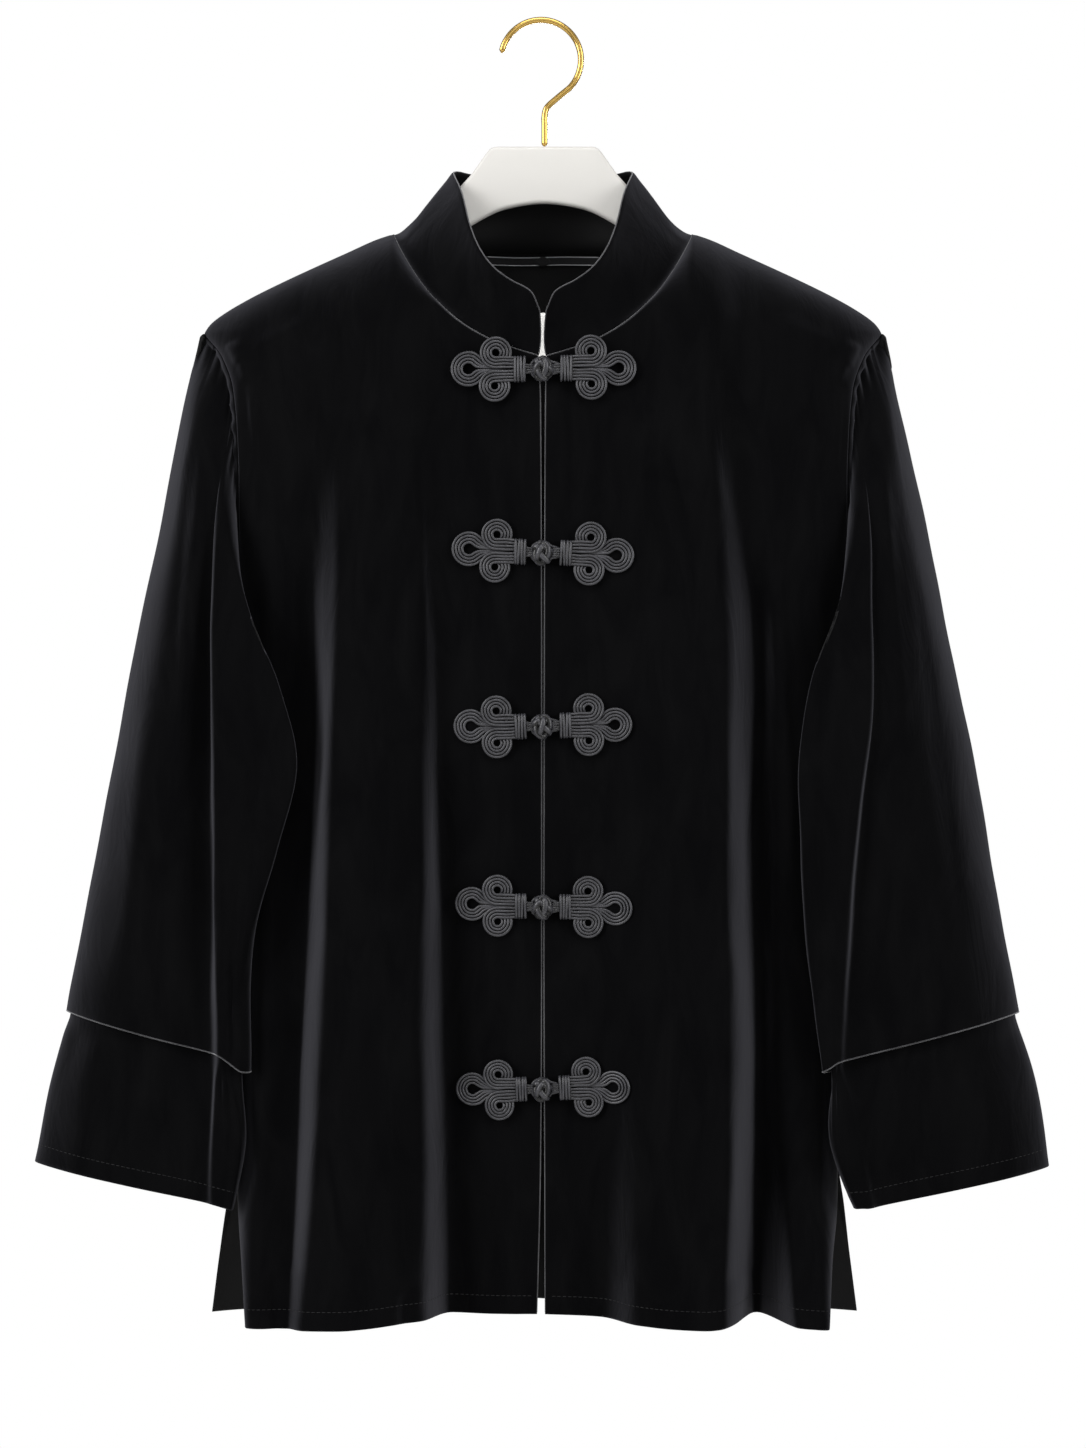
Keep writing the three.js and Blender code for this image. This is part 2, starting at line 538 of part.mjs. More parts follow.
function collar() {
  const edge = neckSeam();
  const lead = leads(edge, false, 1);
  const lines = edge.map(({ p, n }, k) => {
    const place = placeOnNeck(edge, k);
    const folded = place <= 2 ? place : 4 - place;
    const side = place <= 2 ? -1 : 1;
    const base = p.clone().addScaledVector(lead[k], SEAM_GAP);
    const top = vec(side * read(COLLAR_TOP, 'along', folded, 'x'),
      read(COLLAR_TOP, 'along', folded, 'y'), read(COLLAR_TOP, 'along', folded, 'z'));
    const bend = base.clone().addScaledVector(lead[k], COLLAR_BEND.up)
      .addScaledVector(n, COLLAR_BEND.out);
    const curve = new THREE.QuadraticBezierCurve3(base, bend, top);
    return range(COLLAR_ROWS + 1).map((i) => curve.getPoint(i / COLLAR_ROWS));
  });
  const grid = transpose(lines);
  const normals = gridNormals(grid, false, -1);
  edge.forEach(({ n }, k) => normals[0][k].copy(n));
  return { grid, normals, geometry: wall(grid, normals, false) };
}

const collarPiece = collar();

// ---- hanger ------------------------------------------------------------------------------
const HANGER_CENTRE_X = 0.8;
const HANGER_BEVEL = 2;
const ARM_CLEARANCE = 3.1; // arm top below the middle of the shoulder wall

const ARM_X = [125, 150, 175, 199]; // where the arm's top follows the shoulder seam
const HANGER_TOP = rows(['x', 'z'], [
  [34, HANGER_TOP_Z], [36.5, -83], [47.5, -98.8], [56, -108], [72, -127], [84, -140.5],
  [97, -147.6], [110, -150],
]);
const HANGER_END = rows(['x', 'z'], [[205, -198], [206, -204], [200, -208]]);
const HANGER_UNDERSIDE = rows(['x', 'z'], [
  [175, -197], [140, -181.5], [105, -167], [74, -151], [46.8, -131.5], [24, -120.8],
  [0, -117.5],
]);

// Half outline of the hanger, outwards along the top and back along the underside.
function hangerOutline() {
  const arm = ARM_X.map((x) => ({ x, z: read(SHOULDER, 'x', x, 'z') - ARM_CLEARANCE }));
  return [...HANGER_TOP, ...arm, ...HANGER_END, ...HANGER_UNDERSIDE].map(({ x, z }) => [x, z]);
}

function hangerBody() {
  const half = hangerOutline();
  const mirrored = half.slice(0, -1).reverse().map(([x, z]) => [-x, z]);
  const outline = [...half, ...mirrored];
  const shape = new THREE.Shape(outline.map(([x, z]) => new THREE.Vector2(x, z)));
  const geometry = new THREE.ExtrudeGeometry(shape, {
    depth: HANGER_DEPTH - 2 * HANGER_BEVEL, bevelEnabled: true, bevelThickness: HANGER_BEVEL,
    bevelSize: HANGER_BEVEL, bevelOffset: -HANGER_BEVEL, bevelSegments: 2,
  });
  geometry.rotateX(Math.PI / 2);
  geometry.translate(HANGER_CENTRE_X, HANGER_DEPTH / 2 - HANGER_BEVEL, 0);
  return geometry;
}

const HOOK_ARC = { x: -1.3, z: -24, radius: 26, from: 170, to: -45, steps: 12 }; // degrees
const HOOK_STEM = rows(['x', 'z'], [
  [9, -49], [2.6, -55], [1, -61], [1, -71], [1, HANGER_TOP_Z + SEAM_GAP],
]);
const HOOK_SIDES = 8;
const HOOK_LENGTHS = 26;

// The wire runs from its tip over the top and down the stem into the hanger's top.
function hookPath() {
  const arc = range(HOOK_ARC.steps + 1).map((i) => {
    const angle = THREE.MathUtils.degToRad(mix(HOOK_ARC.from, HOOK_ARC.to, i / HOOK_ARC.steps));
    return vec(HOOK_ARC.x + HOOK_ARC.radius * Math.cos(angle), 0,
      HOOK_ARC.z + HOOK_ARC.radius * Math.sin(angle));
  });
  return new THREE.CatmullRomCurve3([...arc, ...HOOK_STEM.map(({ x, z }) => vec(x, 0, z))]);
}

function hook() {
  const section = new THREE.Shape(range(HOOK_SIDES).map((i) => {
    const angle = (i * 2 * Math.PI) / HOOK_SIDES;
    return new THREE.Vector2(Math.cos(angle), Math.sin(angle)).multiplyScalar(HOOK_WIRE / 2);
  }));
  return new THREE.ExtrudeGeometry(section, { steps: HOOK_LENGTHS, extrudePath: hookPath() });
}

// ---- places on a panel ---------------------------------------------------------------------
// y of a grid's surface at (x, z), on the flat triangles between its points.
function surfaceY(grid, x, z) {
  const inside = (a, b, c) => {
    const area = (b.x - a.x) * (c.z - a.z) - (c.x - a.x) * (b.z - a.z);
    const u = ((x - a.x) * (c.z - a.z) - (c.x - a.x) * (z - a.z)) / area;
    const v = ((b.x - a.x) * (z - a.z) - (x - a.x) * (b.z - a.z)) / area;
    return u >= 0 && v >= 0 && u + v <= 1 ? a.y + u * (b.y - a.y) + v * (c.y - a.y) : null;
  };
  for (let i = 0; i < grid.length - 1; i += 1) {
    for (let j = 0; j < grid[0].length - 1; j += 1) {
      const [a, b, c, d] = [grid[i][j], grid[i][j + 1], grid[i + 1][j + 1], grid[i + 1][j]];
      const y = inside(a, b, c) ?? inside(a, c, d);
      if (y !== null) return y;
    }
  }
  return null;
}

// ---- frog closures -----------------------------------------------------------------------
const COLLAR_LEAN = 0.13; // how far the collar front comes forward for each mm of its height
const FRONT_RIM = { x: 4, down: 2.5 }; // the panel is read this far in from its edges
const FROG_LIFT = [0.6, 0.2, 0.2, 0.2, 0.2]; // the first closure lies over the neck seam

// Depth of the front panel, or of the collar above it, under a point of a closure.
function frontDepth(side, x, z) {
  const { grid } = side < 0 ? frontLeft : frontRight;
  const from = Math.max(Math.abs(x), FRONT_RIM.x);
  const below = Math.min(z, read(FRONT_NECK, 'x', from, 'z') - FRONT_RIM.down);
  return -surfaceY(grid, side * from, below) + Math.max(0, z - below) * COLLAR_LEAN;
}

// A coiled loop of cord, lying flat: a ridged ring round a small eye, drawn out to a point.
// x is measured from the closure's middle, up is along Z and height is off the cloth.
const LOOPS = rows(['x', 'up', 'radius', 'stretch', 'aimX', 'aimUp', 'sides'], [
  [47, 0.7, 11.5, 1.75, 16, 0.5, 10],
  [29.7, 10.5, 10.2, 1.4, 15, 3, 8],
  [30, -10.3, 10, 1.4, 15, -3, 8],
]);
const EYE = 1.9; // radius of a loop's eye
const POINT_SHARPNESS = 4;
const LOOP_PROFILE = rows(['along', 'height'], [
  [0, 0], [0.1, 2], [0.34, 2.3], [0.52, 1.5], [0.76, 2.4], [1, 0.6],
]);

function loopSolid(loop) {
  const aim = Math.atan2(loop.aimUp - loop.up, loop.aimX - loop.x);
  const positions = [];
  const faces = [];
  const count = LOOP_PROFILE.length;
  for (let s = 0; s < loop.sides; s += 1) {
    const angle = (s * 2 * Math.PI) / loop.sides;
    const toPoint = ((1 + Math.cos(angle)) / 2) ** POINT_SHARPNESS;
    for (const { along, height } of LOOP_PROFILE) {
      const reach = mix(EYE, loop.radius, along) * (1 + (loop.stretch - 1) * toPoint * along);
      positions.push(loop.x + reach * Math.cos(angle + aim), height,
        loop.up + reach * Math.sin(angle + aim));
    }
    for (let p = 0; p < count; p += 1) {
      const next = ((s + 1) % loop.sides) * count;
      const a = s * count + p;
      const b = s * count + ((p + 1) % count);
      faces.push(a, b, next + ((p + 1) % count), a, next + ((p + 1) % count), next + p);
    }
  }
  return toManifold(solid(positions, faces));
}

function toManifold(geometry) {
  geometry.deleteAttribute('normal');
  geometry.deleteAttribute('uv');
  const merged = mergeVertices(geometry, 1e-4);
  return new wasm.Manifold(new wasm.Mesh({
    numProp: 3,
    vertProperties: new Float32Array(merged.attributes.position.array),
    triVerts: new Uint32Array(merged.index.array),
  }));
}

// Section of a bar, in shares of its half width and its height.
const BAR_PROFILE = rows(['up', 'high'], [[-1, 0], [-0.8, 0.62], [0, 1], [0.8, 0.62], [1, 0]]);

// A rounded bar along x from one end to another, its underside flat on the cloth.
function bar({ from, to, halfUp, height }) {
  const count = BAR_PROFILE.length;
  const positions = [from, to].flatMap((x) => BAR_PROFILE.flatMap(({ up, high }) => (
    [x, high * height, up * halfUp])));
  const faces = range(count).flatMap((k) => {
    const next = (k + 1) % count;
    return [k, next, next + count, k, next + count, k + count];
  });
  for (let k = 1; k < count - 1; k += 1) faces.push(0, k + 1, k, count, count + k, count + k + 1);
  return toManifold(solid(positions, faces));
}

const WRAP = { from: 12, to: 17.5, halfUp: 7.2, height: 3.4 };
const STEM = { from: 6.9, to: 22, halfUp: 4.2, height: 2.6 };

// Half a closure: three loops, the wrap that binds them and the two cords of the stem.
const halfFrog = [...LOOPS.map(loopSolid), bar(WRAP), bar(STEM)]
  .reduce((sum, piece) => sum.add(piece));

function frogHalf(side, index) {
  const mesh = halfFrog.getMesh();
  const positions = [];
  const scale = FROG_SCALE[index];
  const tilt = FROG_TILT[index] * side;
  for (let i = 0; i < mesh.vertProperties.length; i += mesh.numProp) {
    const along = mesh.vertProperties[i] * scale;
    const height = mesh.vertProperties[i + 1];
    const up = mesh.vertProperties[i + 2] * scale;
    const x = side * (along * Math.cos(tilt) - up * Math.sin(tilt));
    const z = FROG_Z[index] + along * Math.sin(tilt) + up * Math.cos(tilt);
    const ground = frontDepth(side, x, z) + CLOTH / 2 + SEAM_GAP + FROG_LIFT[index];
    positions.push(x, -(ground + height), z);
  }
  return solid(positions, Array.from(mesh.triVerts));
}

// The knotted button: a squat ball with the lumps of its crossing cords.
const KNOT = {
  halfX: 6.3, halfY: 5.2, halfZ: 7.6, lump: 0.08, lobes: 4, centre: 3.8, underside: 0.5,
  around: 12, rings: 6, seat: 3, // seat is the x at which its depth is read
};

function knot(index) {
  const geometry = new THREE.SphereGeometry(1, KNOT.around, KNOT.rings);
  geometry.deleteAttribute('normal');
  geometry.deleteAttribute('uv');
  const merged = mergeVertices(geometry, 1e-4);
  const p = merged.attributes.position;
  const depth = frontDepth(-1, KNOT.seat, FROG_Z[index]) + CLOTH / 2 + SEAM_GAP;
  for (let i = 0; i < p.count; i += 1) {
    const point = vec(p.getX(i), p.getY(i), p.getZ(i));
    const around = Math.atan2(point.z, point.x);
    const lump = 1 + KNOT.lump * Math.cos(KNOT.lobes * around) * (1 - point.y * point.y);
    const y = -(depth + KNOT.centre) + point.y * KNOT.halfY * lump;
    p.setXYZ(i, point.x * KNOT.halfX * lump, Math.min(y, -depth - KNOT.underside),
      FROG_Z[index] + point.z * KNOT.halfZ * lump);
  }
  return merged;
}

// ---- inside of the back neck ---------------------------------------------------------------
const INNER_GAP = 0.5;
const TAPE = { halfX: 37, top: -149, bottom: -154, wall: 1, columns: 8, rows: 1 };
const LABEL = { halfX: 12, top: -185, bottom: -222, wall: 1, columns: 2, rows: 3 };

// A flat strip inside the back, following the panel.
function innerStrip(strip) {
  const grid = range(strip.rows + 1).map((i) => range(strip.columns + 1).map((j) => {
    const x = mix(-strip.halfX, strip.halfX, j / strip.columns);
    const z = mix(strip.top, strip.bottom, i / strip.rows);
    return vec(x, surfaceY(back.grid, x, z) - CLOTH / 2 - INNER_GAP - strip.wall / 2, z);
  }));
  const normals = grid.map((row) => row.map(() => vec(0, 1, 0)));
  return wall(grid, normals, false, strip.wall);
}

// ---- the object ----------------------------------------------------------------------------
const velvet = new THREE.MeshStandardMaterial({ color: 0x0b0b0c, roughness: 0.95 });
const cord = new THREE.MeshStandardMaterial({ color: 0x46464a, roughness: 0.6 });
const whitePlastic = new THREE.MeshStandardMaterial({ color: 0xe9e7e4, roughness: 0.45 });
const goldWire = new THREE.MeshStandardMaterial({ color: 0xc9a04e, roughness: 0.3, metalness: 1 });
const tapeCloth = new THREE.MeshStandardMaterial({ color: 0x2a2a2c, roughness: 0.8 });
const labelCloth = new THREE.MeshStandardMaterial({ color: 0xf2f0ec, roughness: 0.8 });

const jacket = new THREE.Group();

function add(name, geometry, material) {
  const mesh = new THREE.Mesh(geometry, material);
  mesh.name = name;
  jacket.add(mesh);
}

add('front_left', frontLeft.geometry, velvet);
add('front_right', frontRight.geometry, velvet);
add('back', back.geometry, velvet);
add('sleeve_left', sleeveLeft.geometry, velvet);
add('sleeve_right', sleeveRight.geometry, velvet);
add('cuff_left', cuffLeft.geometry, velvet);
add('cuff_right', cuffRight.geometry, velvet);
add('collar', collarPiece.geometry, velvet);
add('neck_tape', innerStrip(TAPE), tapeCloth);
add('label', innerStrip(LABEL), labelCloth);
FROG_Z.forEach((_, i) => {
  add(`frog_left_${i + 1}`, frogHalf(-1, i), cord);
  add(`frog_right_${i + 1}`, frogHalf(1, i), cord);
  add(`knot_${i + 1}`, knot(i), cord);
});
add('hanger_body', hangerBody(), whitePlastic);
add('hanger_hook', hook(), goldWire);

export default jacket;
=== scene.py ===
"""A black velvet Tang jacket on a flat white hanger, with its closures of coiled cord.

Sizes are in millimetres, as the maker gives them, and one factor turns them to metres where a
mesh is made. +Z is up, the front faces -Y, and "left" and "right" are as seen from the front.
"""

import bpy
import numpy as np
from mathutils import Matrix, Vector


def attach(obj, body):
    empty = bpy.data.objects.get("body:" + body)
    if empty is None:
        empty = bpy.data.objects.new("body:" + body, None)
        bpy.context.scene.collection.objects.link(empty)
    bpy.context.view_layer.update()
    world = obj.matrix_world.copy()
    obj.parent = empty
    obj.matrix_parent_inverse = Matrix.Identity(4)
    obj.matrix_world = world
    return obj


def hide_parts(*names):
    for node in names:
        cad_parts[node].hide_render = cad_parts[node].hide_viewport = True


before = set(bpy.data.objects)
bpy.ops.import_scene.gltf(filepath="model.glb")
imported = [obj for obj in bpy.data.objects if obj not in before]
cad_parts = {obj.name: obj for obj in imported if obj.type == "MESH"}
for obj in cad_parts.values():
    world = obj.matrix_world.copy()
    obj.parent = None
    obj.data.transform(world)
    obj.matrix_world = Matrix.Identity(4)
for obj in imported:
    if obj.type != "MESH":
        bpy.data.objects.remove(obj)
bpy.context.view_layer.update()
MM = 0.001

# ---- driving dimensions ----------------------------------------------------------------------
CLOTH = 1.6          # velvet, interlining and lining together
SEAM_GAP = 0.3       # between two pieces that are sewn together
UNDERARM_Z = -388.0
SLIT_Z = -735.0
TIP_X, TIP_Z = 219.7, -202.0       # shoulder tip, at the top of the armhole
NECK_X = 97.5        # half width of the neck opening at the shoulder seam
SHOULDER_ROLL = 75.0  # height in which a panel turns from the shoulder seam to the chest
SIDES = ((-1, "left"), (1, "right"))
FROG_Z = [-229.3, -346.3, -456.9, -572.3, -689.0]
FROG_SCALE = [1.02, 1.0, 0.985, 0.975, 0.955]
FROG_TILT = [0.02, -0.03, 0.025, -0.015, 0.035]
FROG_OFF = [0.6, 0.1, 0.1, 0.1, 0.1]     # off the cloth; the first lies over the collar's seam
LEVELS = np.array([-250.0, -425, -617, SLIT_Z, -838])

# Shoulder seam (x, z) and the two neck seams (x, z, y).
SHOULDER = np.array([
    [97.5, -138.4], [107.2, -141.6], [127.4, -150.6], [148.8, -160.2], [169.7, -169.9],
    [189.2, -179.6], [206.1, -189.4], [215.5, -196.5], [219.7, -202]])
FRONT_NECK = np.array([
    [0, -221.8, -42], [27.4, -213.2, -41], [49.8, -201.4, -38], [72.4, -181.2, -31],
    [85, -163.5, -23], [92, -151, -15.5], [96, -142.6, -8], [97.5, -138.4, 0]])
BACK_NECK = np.array([
    [0, -146.4, 27], [25, -146.4, 25.5], [47.9, -146.1, 20.5], [75, -143.5, 12.5],
    [97.5, -138.4, 0]])

# Armhole, side seam and slit (z, x, y), y forward on the fronts and backward on the back.
FRONT_ARMHOLE = [
    [-202, 219.7, 0], [-218, 207, 12], [-240, 199, 21], [-270, 196, 26], [-300, 195, 27],
    [-330, 195, 24], [-355, 196, 17], [-375, 197, 9], [-388, 198, 0]]
BACK_ARMHOLE = [
    [-202, 219.7, 0], [-218, 209, 9], [-240, 203, 17], [-270, 199.5, 22], [-300, 198, 23],
    [-330, 197.5, 20], [-355, 197.5, 14], [-375, 198, 7], [-388, 198, 0]]
SIDE_SEAM = {"left": [[-425, 196.5, 0], [-620, 197, 0], [-735, 198.5, 0]],
             "right": [[-425, 196.5, 0], [-620, 193, 0], [-735, 191, 0]]}
SLIT_EDGE = {"front_left": [[-769, 196, 15], [-800, 192.5, 32], [-838, 189, 46]],
             "front_right": [[-769, 189, 15], [-800, 184.5, 34], [-840, 181.3, 52]],
             "back_left": [[-769, 206, 12], [-801, 212, 26], [-843, 218, 32]],
             "back_right": [[-769, 196, 12], [-801, 201, 26], [-844, 207, 32]]}

# Folds of each panel from the centre out: where each starts on the neck or shoulder, then its
# distance from the centre and its depth at each of LEVELS.
FOLDS = {
    "front_left": np.array([
        [2.9, 1.5, 42.5, 0.8, 40, 0.8, 34, 1.5, 29, 3.9, 24],
        [30, 30, 42, 28, 39, 28, 33, 29, 29, 30, 25],
        [60, 62, 39, 63, 35.5, 60, 28, 58, 24, 58, 20],
        [86, 84, 43, 79, 46, 79, 48, 79, 49, 78, 51],
        [109, 106, 41, 105, 49, 107, 55, 107, 60, 109, 66],
        [132, 124, 38.5, 130, 45, 136, 51, 143, 54, 151, 62],
        [160, 150, 32, 149, 26.5, 154, 26.5, 159, 31, 163, 51],
        [188, 177, 29, 172, 28, 174, 31, 176, 31, 178, 52]]),
    "front_right": np.array([
        [2, 1.5, 42.5, 0.7, 40, 0.5, 34, 1, 29, 1.3, 24],
        [27, 30, 42, 34, 38, 34, 33, 35, 31, 36, 29],
        [56, 58, 40, 64, 42, 64, 44, 62, 46, 62, 50],
        [86, 80, 42, 90, 47.5, 88, 52, 86, 55, 84, 60],
        [109, 103, 43, 112, 47, 114, 54, 114, 59, 112, 65],
        [136, 126, 36, 137, 26, 138, 24, 137, 22, 138, 21],
        [160, 152, 33, 153, 32, 155, 31.5, 158, 34, 163, 57],
        [188, 176, 29, 174, 29, 172, 29, 173, 29, 174, 56]]),
    "back_left": np.array([
        [0, 0, 31, 0, 33, 0, 30, 0, 28, 0, 26],
        [50, 42, 32.5, 38, 36, 36, 36.5, 34, 37, 33, 38],
        [NECK_X, 78, 31, 72, 31, 70, 29, 70, 27, 72, 26],
        [140, 120, 30, 112, 35, 108, 38, 106, 39, 108, 41],
        [165, 152, 28, 146, 28, 144, 26, 145, 25, 148, 27],
        [190, 178, 24, 175, 25, 174, 26, 178, 26, 184, 34]]),
    "back_right": np.array([
        [0, 0, 31, 0, 33, 0, 30, 0, 28, 0, 26],
        [50, 46, 32, 48, 33, 50, 31, 50, 29, 50, 27],
        [NECK_X, 84, 32, 86, 37, 85, 39, 84, 40, 82, 42],
        [140, 118, 29, 120, 29, 122, 27, 122, 25, 122, 25],
        [165, 150, 28, 148, 31, 147, 32, 147, 32, 150, 35],
        [190, 177, 24, 173, 24, 172, 24, 174, 24, 180, 32]])}
HEM = {
    "front_left": np.array([[0, -835], [60, -834.5], [92, -835.5], [131, -839], [200, -840]]),
    "front_right": np.array([[0, -835], [36, -835.8], [62, -838], [102, -839], [138, -834.4],
                             [163, -838.5], [200, -841.8]]),
    "back": np.array([[0, -833.5], [70, -834], [140, -837], [200, -842], [230, -844]])}

# Sections of the sleeves and cuffs from the shoulder down: outer x z, crest x z y, inner x z y,
# layer x y, pass x y, valley, front, back.
SLEEVE = {
    "left": np.array([
        [231, -244, 206, -312, -36, 191, -376, -41, 199, -33, 206, -12, 2, -31, 25],
        [247, -322, 210, -388, -41, 169, -430, -46, 177, -39, 204, -26, 8, -35, 26],
        [262.6, -400, 209, -447, -43, 158, -480, -46, 166, -39, 204, -27, 12, -36, 26],
        [278, -478, 208.5, -512, -43, 171, -536, -43, 178, -37, 204, -25, 12, -36, 26],
        [293, -556, 208, -590, -41, 189, -602, -40, 187, -34, 204, -22, 11, -35, 26],
        [309, -642, 207, -668, -38, 193, -678, -38, 188, -32, 204, -18, 8, -32, 25]]),
    "right": np.array([
        [230, -244, 206, -315, -35, 190, -376, -40, 198, -32, 206, -12, 1.5, -31, 25],
        [247, -322, 207, -388, -40, 172, -425, -46, 180, -38, 204, -26, 3, -35, 26],
        [263, -400, 206, -450, -43, 164, -478, -46, 172, -39, 203, -26, 4, -37, 26],
        [279, -478, 199, -515, -44, 166, -536, -45, 174, -38, 202, -24, 5, -37, 26],
        [292.5, -556, 192, -590, -43, 170, -602, -43, 178, -36, 201, -22, 5, -36, 26],
        [308.8, -643, 189, -672, -39, 179, -678, -40, 185, -33, 201, -18, 4, -33, 25]])}
CUFF = {
    "left": np.array([
        [320, -690, 209, -716, -35, 193, -722, -36, 192, -30, 205, -16, 5, -29, 23],
        [329.6, -740, 211, -764, -31, 200, -767, -32, 201, -25, 208, -12, 4, -26, 21]]),
    "right": np.array([
        [320, -691, 197, -716, -38, 185, -721, -38, 187, -31, 202, -16, 3, -30, 23],
        [328.2, -743, 210, -766, -32, 201, -766, -33, 201, -26, 208, -12, 3, -27, 21]])}
CUFF_TUCK = 8.0      # length of cuff hidden inside the sleeve hem

# Top edge of the stand collar: place along the neck seam (0 the centre front, 1 the shoulder
# seam, 2 the centre back), x, y, z.
COLLAR_TOP = np.array([
    [0, 1.9, -46, -192], [0.1, 7.5, -46, -180.5], [0.28, 21, -45, -172.5],
    [0.42, 30.6, -42, -165], [0.58, 40.3, -35, -151.5], [0.72, 46.9, -26, -134.5],
    [0.86, 52.2, -14, -112.5], [0.93, 55, -7, -105.2], [0.99, 57.6, -1.5, -99.4],
    [1.04, 58, 2.5, -96.9], [1.12, 54.6, 8, -95.6], [1.25, 48, 14, -96.2],
    [1.6, 26, 21.5, -97.5], [2, 0, 24, -98]])


# ---- curves through tables -------------------------------------------------------------------
def mix(a, b, t):
    return a + (b - a) * t


def circle(count):
    """Angles of points spread evenly round a circle."""
    return np.arange(count) * 2 * np.pi / count


def unit(v):
    return v / np.maximum(np.linalg.norm(v, axis=-1, keepdims=True), 1e-9)


def smooth(knots, values, at):
    """Cubic through (knots, values) read at any places. The slope at a knot is the harmonic mean
    of the steps beside it, or 0 where they turn, so nothing overshoots. Knots and values may
    have one column for each column of at."""
    knots, values = np.asarray(knots, float), np.asarray(values, float)
    if np.all(knots[0] > knots[-1]):
        knots, values = knots[::-1], values[::-1]
    if values.ndim > knots.ndim:
        knots = knots.reshape(knots.shape + (1,) * (values.ndim - knots.ndim))
    step = np.diff(values, axis=0) / np.diff(knots, axis=0)
    total = step[:-1] + step[1:]
    product = step[:-1] * step[1:]
    inner = np.where(product > 0, 2 * product / np.where(product > 0, total, 1), 0)
    slope = np.concatenate([step[:1], inner, step[-1:]])
    result = None
    for n in range(len(knots) - 1):
        h = knots[n + 1] - knots[n]
        s = np.clip((at - knots[n]) / h, 0, 1)
        piece = (values[n] * (1 + 2 * s) * (1 - s) ** 2 + h * slope[n] * s * (1 - s) ** 2
                 + values[n + 1] * s * s * (3 - 2 * s) - h * slope[n + 1] * s * s * (1 - s))
        result = piece if result is None else np.where(at > knots[n], piece, result)
    return result


def ease(low, high, at):
    """0 below low, 1 above high, and a smooth step between."""
    t = np.clip((at - low) / (high - low), 0, 1)
    return t * t * (3 - 2 * t)


def catmull(points, steps, closed=False, centripetal=False):
    """Catmull-Rom curve along the first axis, with steps places from each point to the next.
    The tangent at a point is half the way between its neighbours, or, where the curve is
    centripetal, weighted by the square roots of the distances to them."""
    p = np.asarray(points, float)
    if closed:
        p = np.concatenate([p[-1:], p, p[:2]])
    else:
        p = np.concatenate([2 * p[:1] - p[1:2], p, 2 * p[-1:] - p[-2:-1]])
    t = (np.arange(steps) / steps).reshape((-1,) + (1,) * (p.ndim - 1))
    spans = []
    for n in range(len(p) - 3):
        p0, p1, p2, p3 = p[n:n + 4]
        if centripetal:
            d0, d1, d2 = (np.linalg.norm(b - a, axis=-1, keepdims=True) ** 0.5
                          for a, b in ((p0, p1), (p1, p2), (p2, p3)))
            m1 = ((p1 - p0) / d0 - (p2 - p0) / (d0 + d1) + (p2 - p1) / d1) * d1
            m2 = ((p2 - p1) / d1 - (p3 - p1) / (d1 + d2) + (p3 - p2) / d2) * d1
        else:
            m1, m2 = (p2 - p0) / 2, (p3 - p1) / 2
        spans.append(p1 + m1 * t + (3 * (p2 - p1) - 2 * m1 - m2) * t ** 2
                     + (2 * (p1 - p2) + m1 + m2) * t ** 3)
    if not closed:
        spans.append(p[-2:-1])
    return np.concatenate(spans)


def lengths(grid, axis):
    """Distance along the given axis from the first row or column of a grid of points."""
    step = np.linalg.norm(np.diff(grid, axis=axis), axis=-1)
    start = np.zeros_like(step.take([0], axis=axis))
    return np.concatenate([start, np.cumsum(step, axis=axis)], axis=axis)


def from_ends(distance, axis):
    """Distances along lines of a grid, counted from the nearer end of each line."""
    return np.minimum(distance, distance.take([-1], axis=axis) - distance)


def read_along(at, run, table):
    """Rows of a table, which stand at the distances run, read at the distances at."""
    return np.stack([np.interp(at, run, column) for column in table.T], -1)


def grid_normals(grid, closed, outward):
    """Normal at each point: the cross product of the differences along rows and columns."""
    if closed:
        across = np.roll(grid, -1, axis=1) - np.roll(grid, 1, axis=1)
    else:
        across = np.gradient(grid, axis=1)
    return unit(np.cross(unit(across), unit(np.gradient(grid, axis=0)))) * outward


# ---- meshes ----------------------------------------------------------------------------------
def signed_volume(points, faces):
    """Six times the volume inside the faces: each one's corners as a fan of tetrahedra."""
    total = 0.0
    for block in faces:
        for k in range(1, block.shape[1] - 1):
            a, b, c = points[block[:, 0]], points[block[:, k]], points[block[:, k + 1]]
            total += float(np.einsum("ij,ij->", a, np.cross(b, c)))
    return total


def make_part(points, faces, uv=None, material=None):
    """Points in mm, blocks of faces, the place of each point on the map, which is its x and z
    where none is given, and the material number of each block."""
    return {"points": points, "faces": faces, "uv": points[:, [0, 2]] if uv is None else uv,
            "material": material or [0] * len(faces)}


def put_in_scene(name, data):
    made = bpy.data.objects.new(name, data)
    bpy.context.scene.collection.objects.link(made)
    return made


